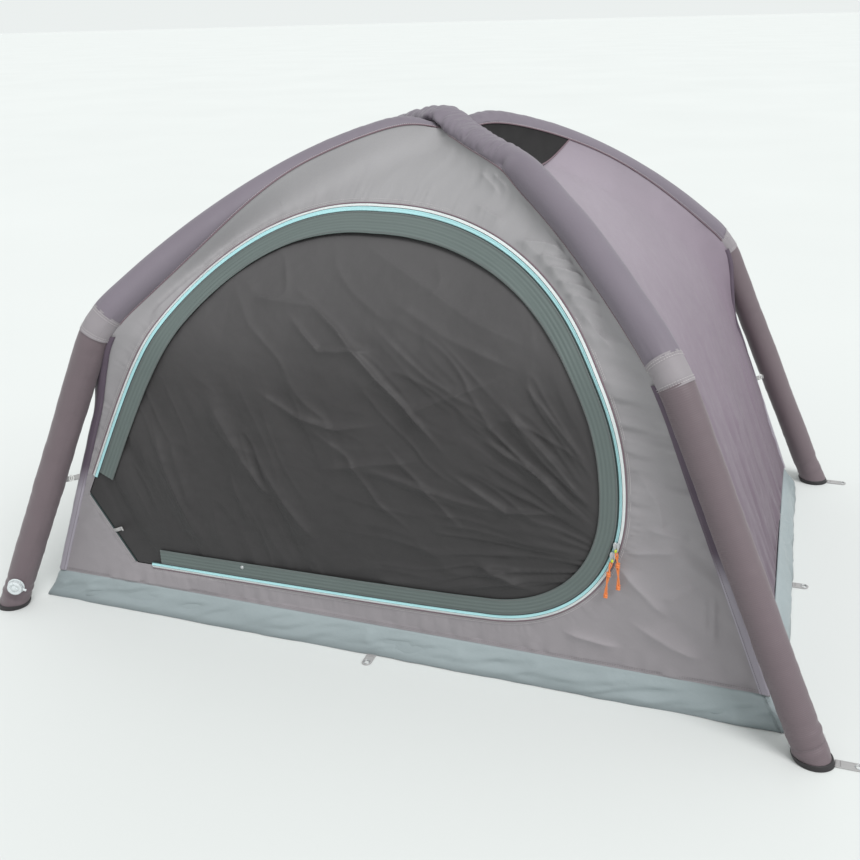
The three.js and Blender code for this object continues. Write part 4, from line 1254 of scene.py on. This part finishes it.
def make_tie(name, corner):
    """A short strap from the tent's corner to the leg, closed with a moulded hook."""
    station = 1 + (KNEE[2] - TIE_HEIGHT) / KNEE[2]
    leg = beam_points(corner, [station])[0]
    root = [sign * (half_size(axis, TIE_HEIGHT) - 0.002) for sign, axis in zip(corner, "xy")]
    start = np.array([*root, TIE_HEIGHT])
    lead = unit(leg - start)
    length = np.linalg.norm(leg - start) - SLEEVE_R + 0.001
    side = unit(np.cross(UP, lead))
    reach = np.linspace(0, length, 26)
    across = np.linspace(-0.008, 0.008, 7)
    sag = -0.0010 * np.sin(reach / length * math.pi)
    narrow = 1 - 0.45 * np.exp(-(((reach - 0.6 * length) / 0.004) ** 2))
    height = across[None] * narrow[:, None] + sag[:, None]
    points = start + lead * reach[:, None, None] + UP * height[..., None]
    normals = np.broadcast_to(side, points.shape)
    ribbon(f"tie_strap_{name}", (points, normals), 0.0018, WEBBING, slot="webbing",
           stands_for=[f"leg_tie_{name}"])
    centre = start + lead * length * 0.6 + side * 0.0012
    turn = np.linspace(0, 2 * math.pi, 41)[:, None]
    loop = centre + lead * 0.0058 * np.cos(turn) + UP * 0.0088 * np.sin(turn)
    tube(f"tie_hook_{name}", loop, 0.0019, HOOK, sides=10, caps=False, slot="webbing")
    bar = [centre - UP * 0.0075, centre + side * 0.0012, centre + UP * 0.0075]
    tube(f"tie_bar_{name}", bar, 0.0015, HOOK, slot="webbing")


# ---- groundsheet ----
def rounded_rectangle(half_x, half_y, radius, count=960):
    angle = np.linspace(0, math.pi / 2, 12)
    corners = []
    for k, (sx, sy) in enumerate(((1, -1), (1, 1), (-1, 1), (-1, -1))):
        turn = angle + (k - 1) * math.pi / 2
        centre = np.array([sx * (half_x - radius), sy * (half_y - radius)])
        corners.append(centre + radius * np.stack([np.cos(turn), np.sin(turn)], -1))
    loop = np.concatenate([*corners, corners[0][:1]])
    return resample(loop, count + 1)[:-1]


def make_groundsheet():
    rows = []
    for share in np.linspace(0, 1, 16):
        half_x = TUB["x"] + (TUB["x_top"] - TUB["x"]) * share
        half_y = TUB["y"] + (TUB["y_top"] - TUB["y"]) * share
        line = rounded_rectangle(half_x, half_y, 0.012)
        run = distance_along(line)
        out = shifted(line, -1.0) - line
        swell = 0.0030 * math.sin(math.pi * share)
        crumple = 0.0085 * noise(run / 0.16, share * 2.2, 141)
        crumple += 0.0050 * noise(run / 0.05 + share, share * 4, 142)
        crumple += 0.0060 * ridged(run / 0.22, share * 2.0 + 0.8 * noise(run / 0.15, 0, 143), 144, 5)
        line = line + out * ((swell + crumple * math.sin(math.pi * min(share * 0.9 + 0.1, 1)))[:, None] - 0.001)
        dip = 0.0012 * (1 - share) ** 4 * (1 + noise(run / 0.12, 0, 145))
        rows.append(np.column_stack([line, TUB["height"] * share + dip]))
    top = rows[-1]
    inner = top * [0.997, 0.9955, 1] - [0, 0, 0.0005]
    foot = rows[0] * [0.996, 0.994, 1] + [0, 0, 0.0022]
    for share in (0.0, 0.3, 0.7, 1.0):
        rows.append(inner * (1 - share) + foot * share)
    for share in np.linspace(0.97, 0.01, 26):
        ring = foot * [share, share, 1]
        ring[:, 2] = 0.0035 + 0.0018 * layered(ring[:, 0] / 0.15, ring[:, 1] / 0.15, 147)
        rows.append(ring)
    points = np.stack(rows)
    down, along = distance_along(points[:, 0]), distance_along(points[0])
    uv = np.stack(np.broadcast_arrays(along[None], down[:, None]), -1)
    sheet = grid_piece("groundsheet_tub", points, COATED, wrap=True, uv=uv, slot="tub",
                       stands_for=["groundsheet"])
    for name in FACES:
        half = half_size(WIDE[name], np.array(HEM)) - 0.004
        for row, rise in enumerate((0.0055, 0.0095)):
            along = np.linspace(-half, half, 300)
            line, normal = face_frame(name, along, np.full(300, HEM + rise))
            stitches(f"hem_stitches_{name}_{row + 1}", line + 0.0012 * normal, normal, THREAD_DARK,
                     wide=0.0009, slot="trim")


# ---- floor and light ----
def make_stage():
    n = Nodes("studio_floor")
    cloud = n.spread(n.noise((0.4, 0.4, 0.4), 2.0, "Object"), 0, 1)
    tone = n.mix(cloud, linear(213, 215, 214), linear(216, 218, 217))
    n.shader.inputs["Specular IOR Level"].default_value = 0.1
    material = n.finish(tone, 0.9)
    radius = np.array([0.01, 1.5, 4.0, 12.0, 40.0, 200.0])[:, None]
    turn = full_turn(64)[None]
    points = np.stack(np.broadcast_arrays(radius * np.cos(turn), radius * np.sin(turn), -0.0006), -1)
    mesh = bpy.data.meshes.new("floor")
    mesh.from_pydata(points.reshape(-1, 3).tolist(), [], grid_faces(len(radius), 64, True).tolist())
    mesh.materials.append(material)
    floor = bpy.data.objects.new("floor", mesh)
    bpy.context.scene.collection.objects.link(floor)


def make_light():
    world = bpy.data.worlds.new("soft_room")
    bpy.context.scene.world = world
    world.use_nodes = True
    back = world.node_tree.nodes["Background"]
    back.inputs["Color"].default_value = (0.96, 1.0, 0.99, 1)
    back.inputs["Strength"].default_value = 0.87
    data = bpy.data.lights.new("sky_opening", "SUN")
    data.energy = 2.0
    data.angle = math.radians(28)
    lamp = bpy.data.objects.new("sky_opening", data)
    lamp.rotation_euler = Vector((0.52, -0.40, 0.76)).to_track_quat("Z", "Y").to_euler()
    bpy.context.scene.collection.objects.link(lamp)
    bpy.context.scene.view_settings.view_transform = "Standard"


make_camera()
for pull, lean in (("upper", 1), ("lower", -1)):
    make_pull(pull, lean)
    make_slider(pull)
make_bladders()
make_front_panel()
make_door_panel()
make_walls()
make_zip()
make_hinge()
make_snap()
make_sleeves()
for leg_name, leg_corner in CORNERS.items():
    make_leg(leg_name, leg_corner)
    make_corner_strip(leg_name, leg_corner)
    make_tie(leg_name, leg_corner)
make_tabs()
make_valve("front_left", 0.35, -0.94)
make_valve("rear_left", -0.35, 0.94)
make_groundsheet()
make_stage()
make_light()
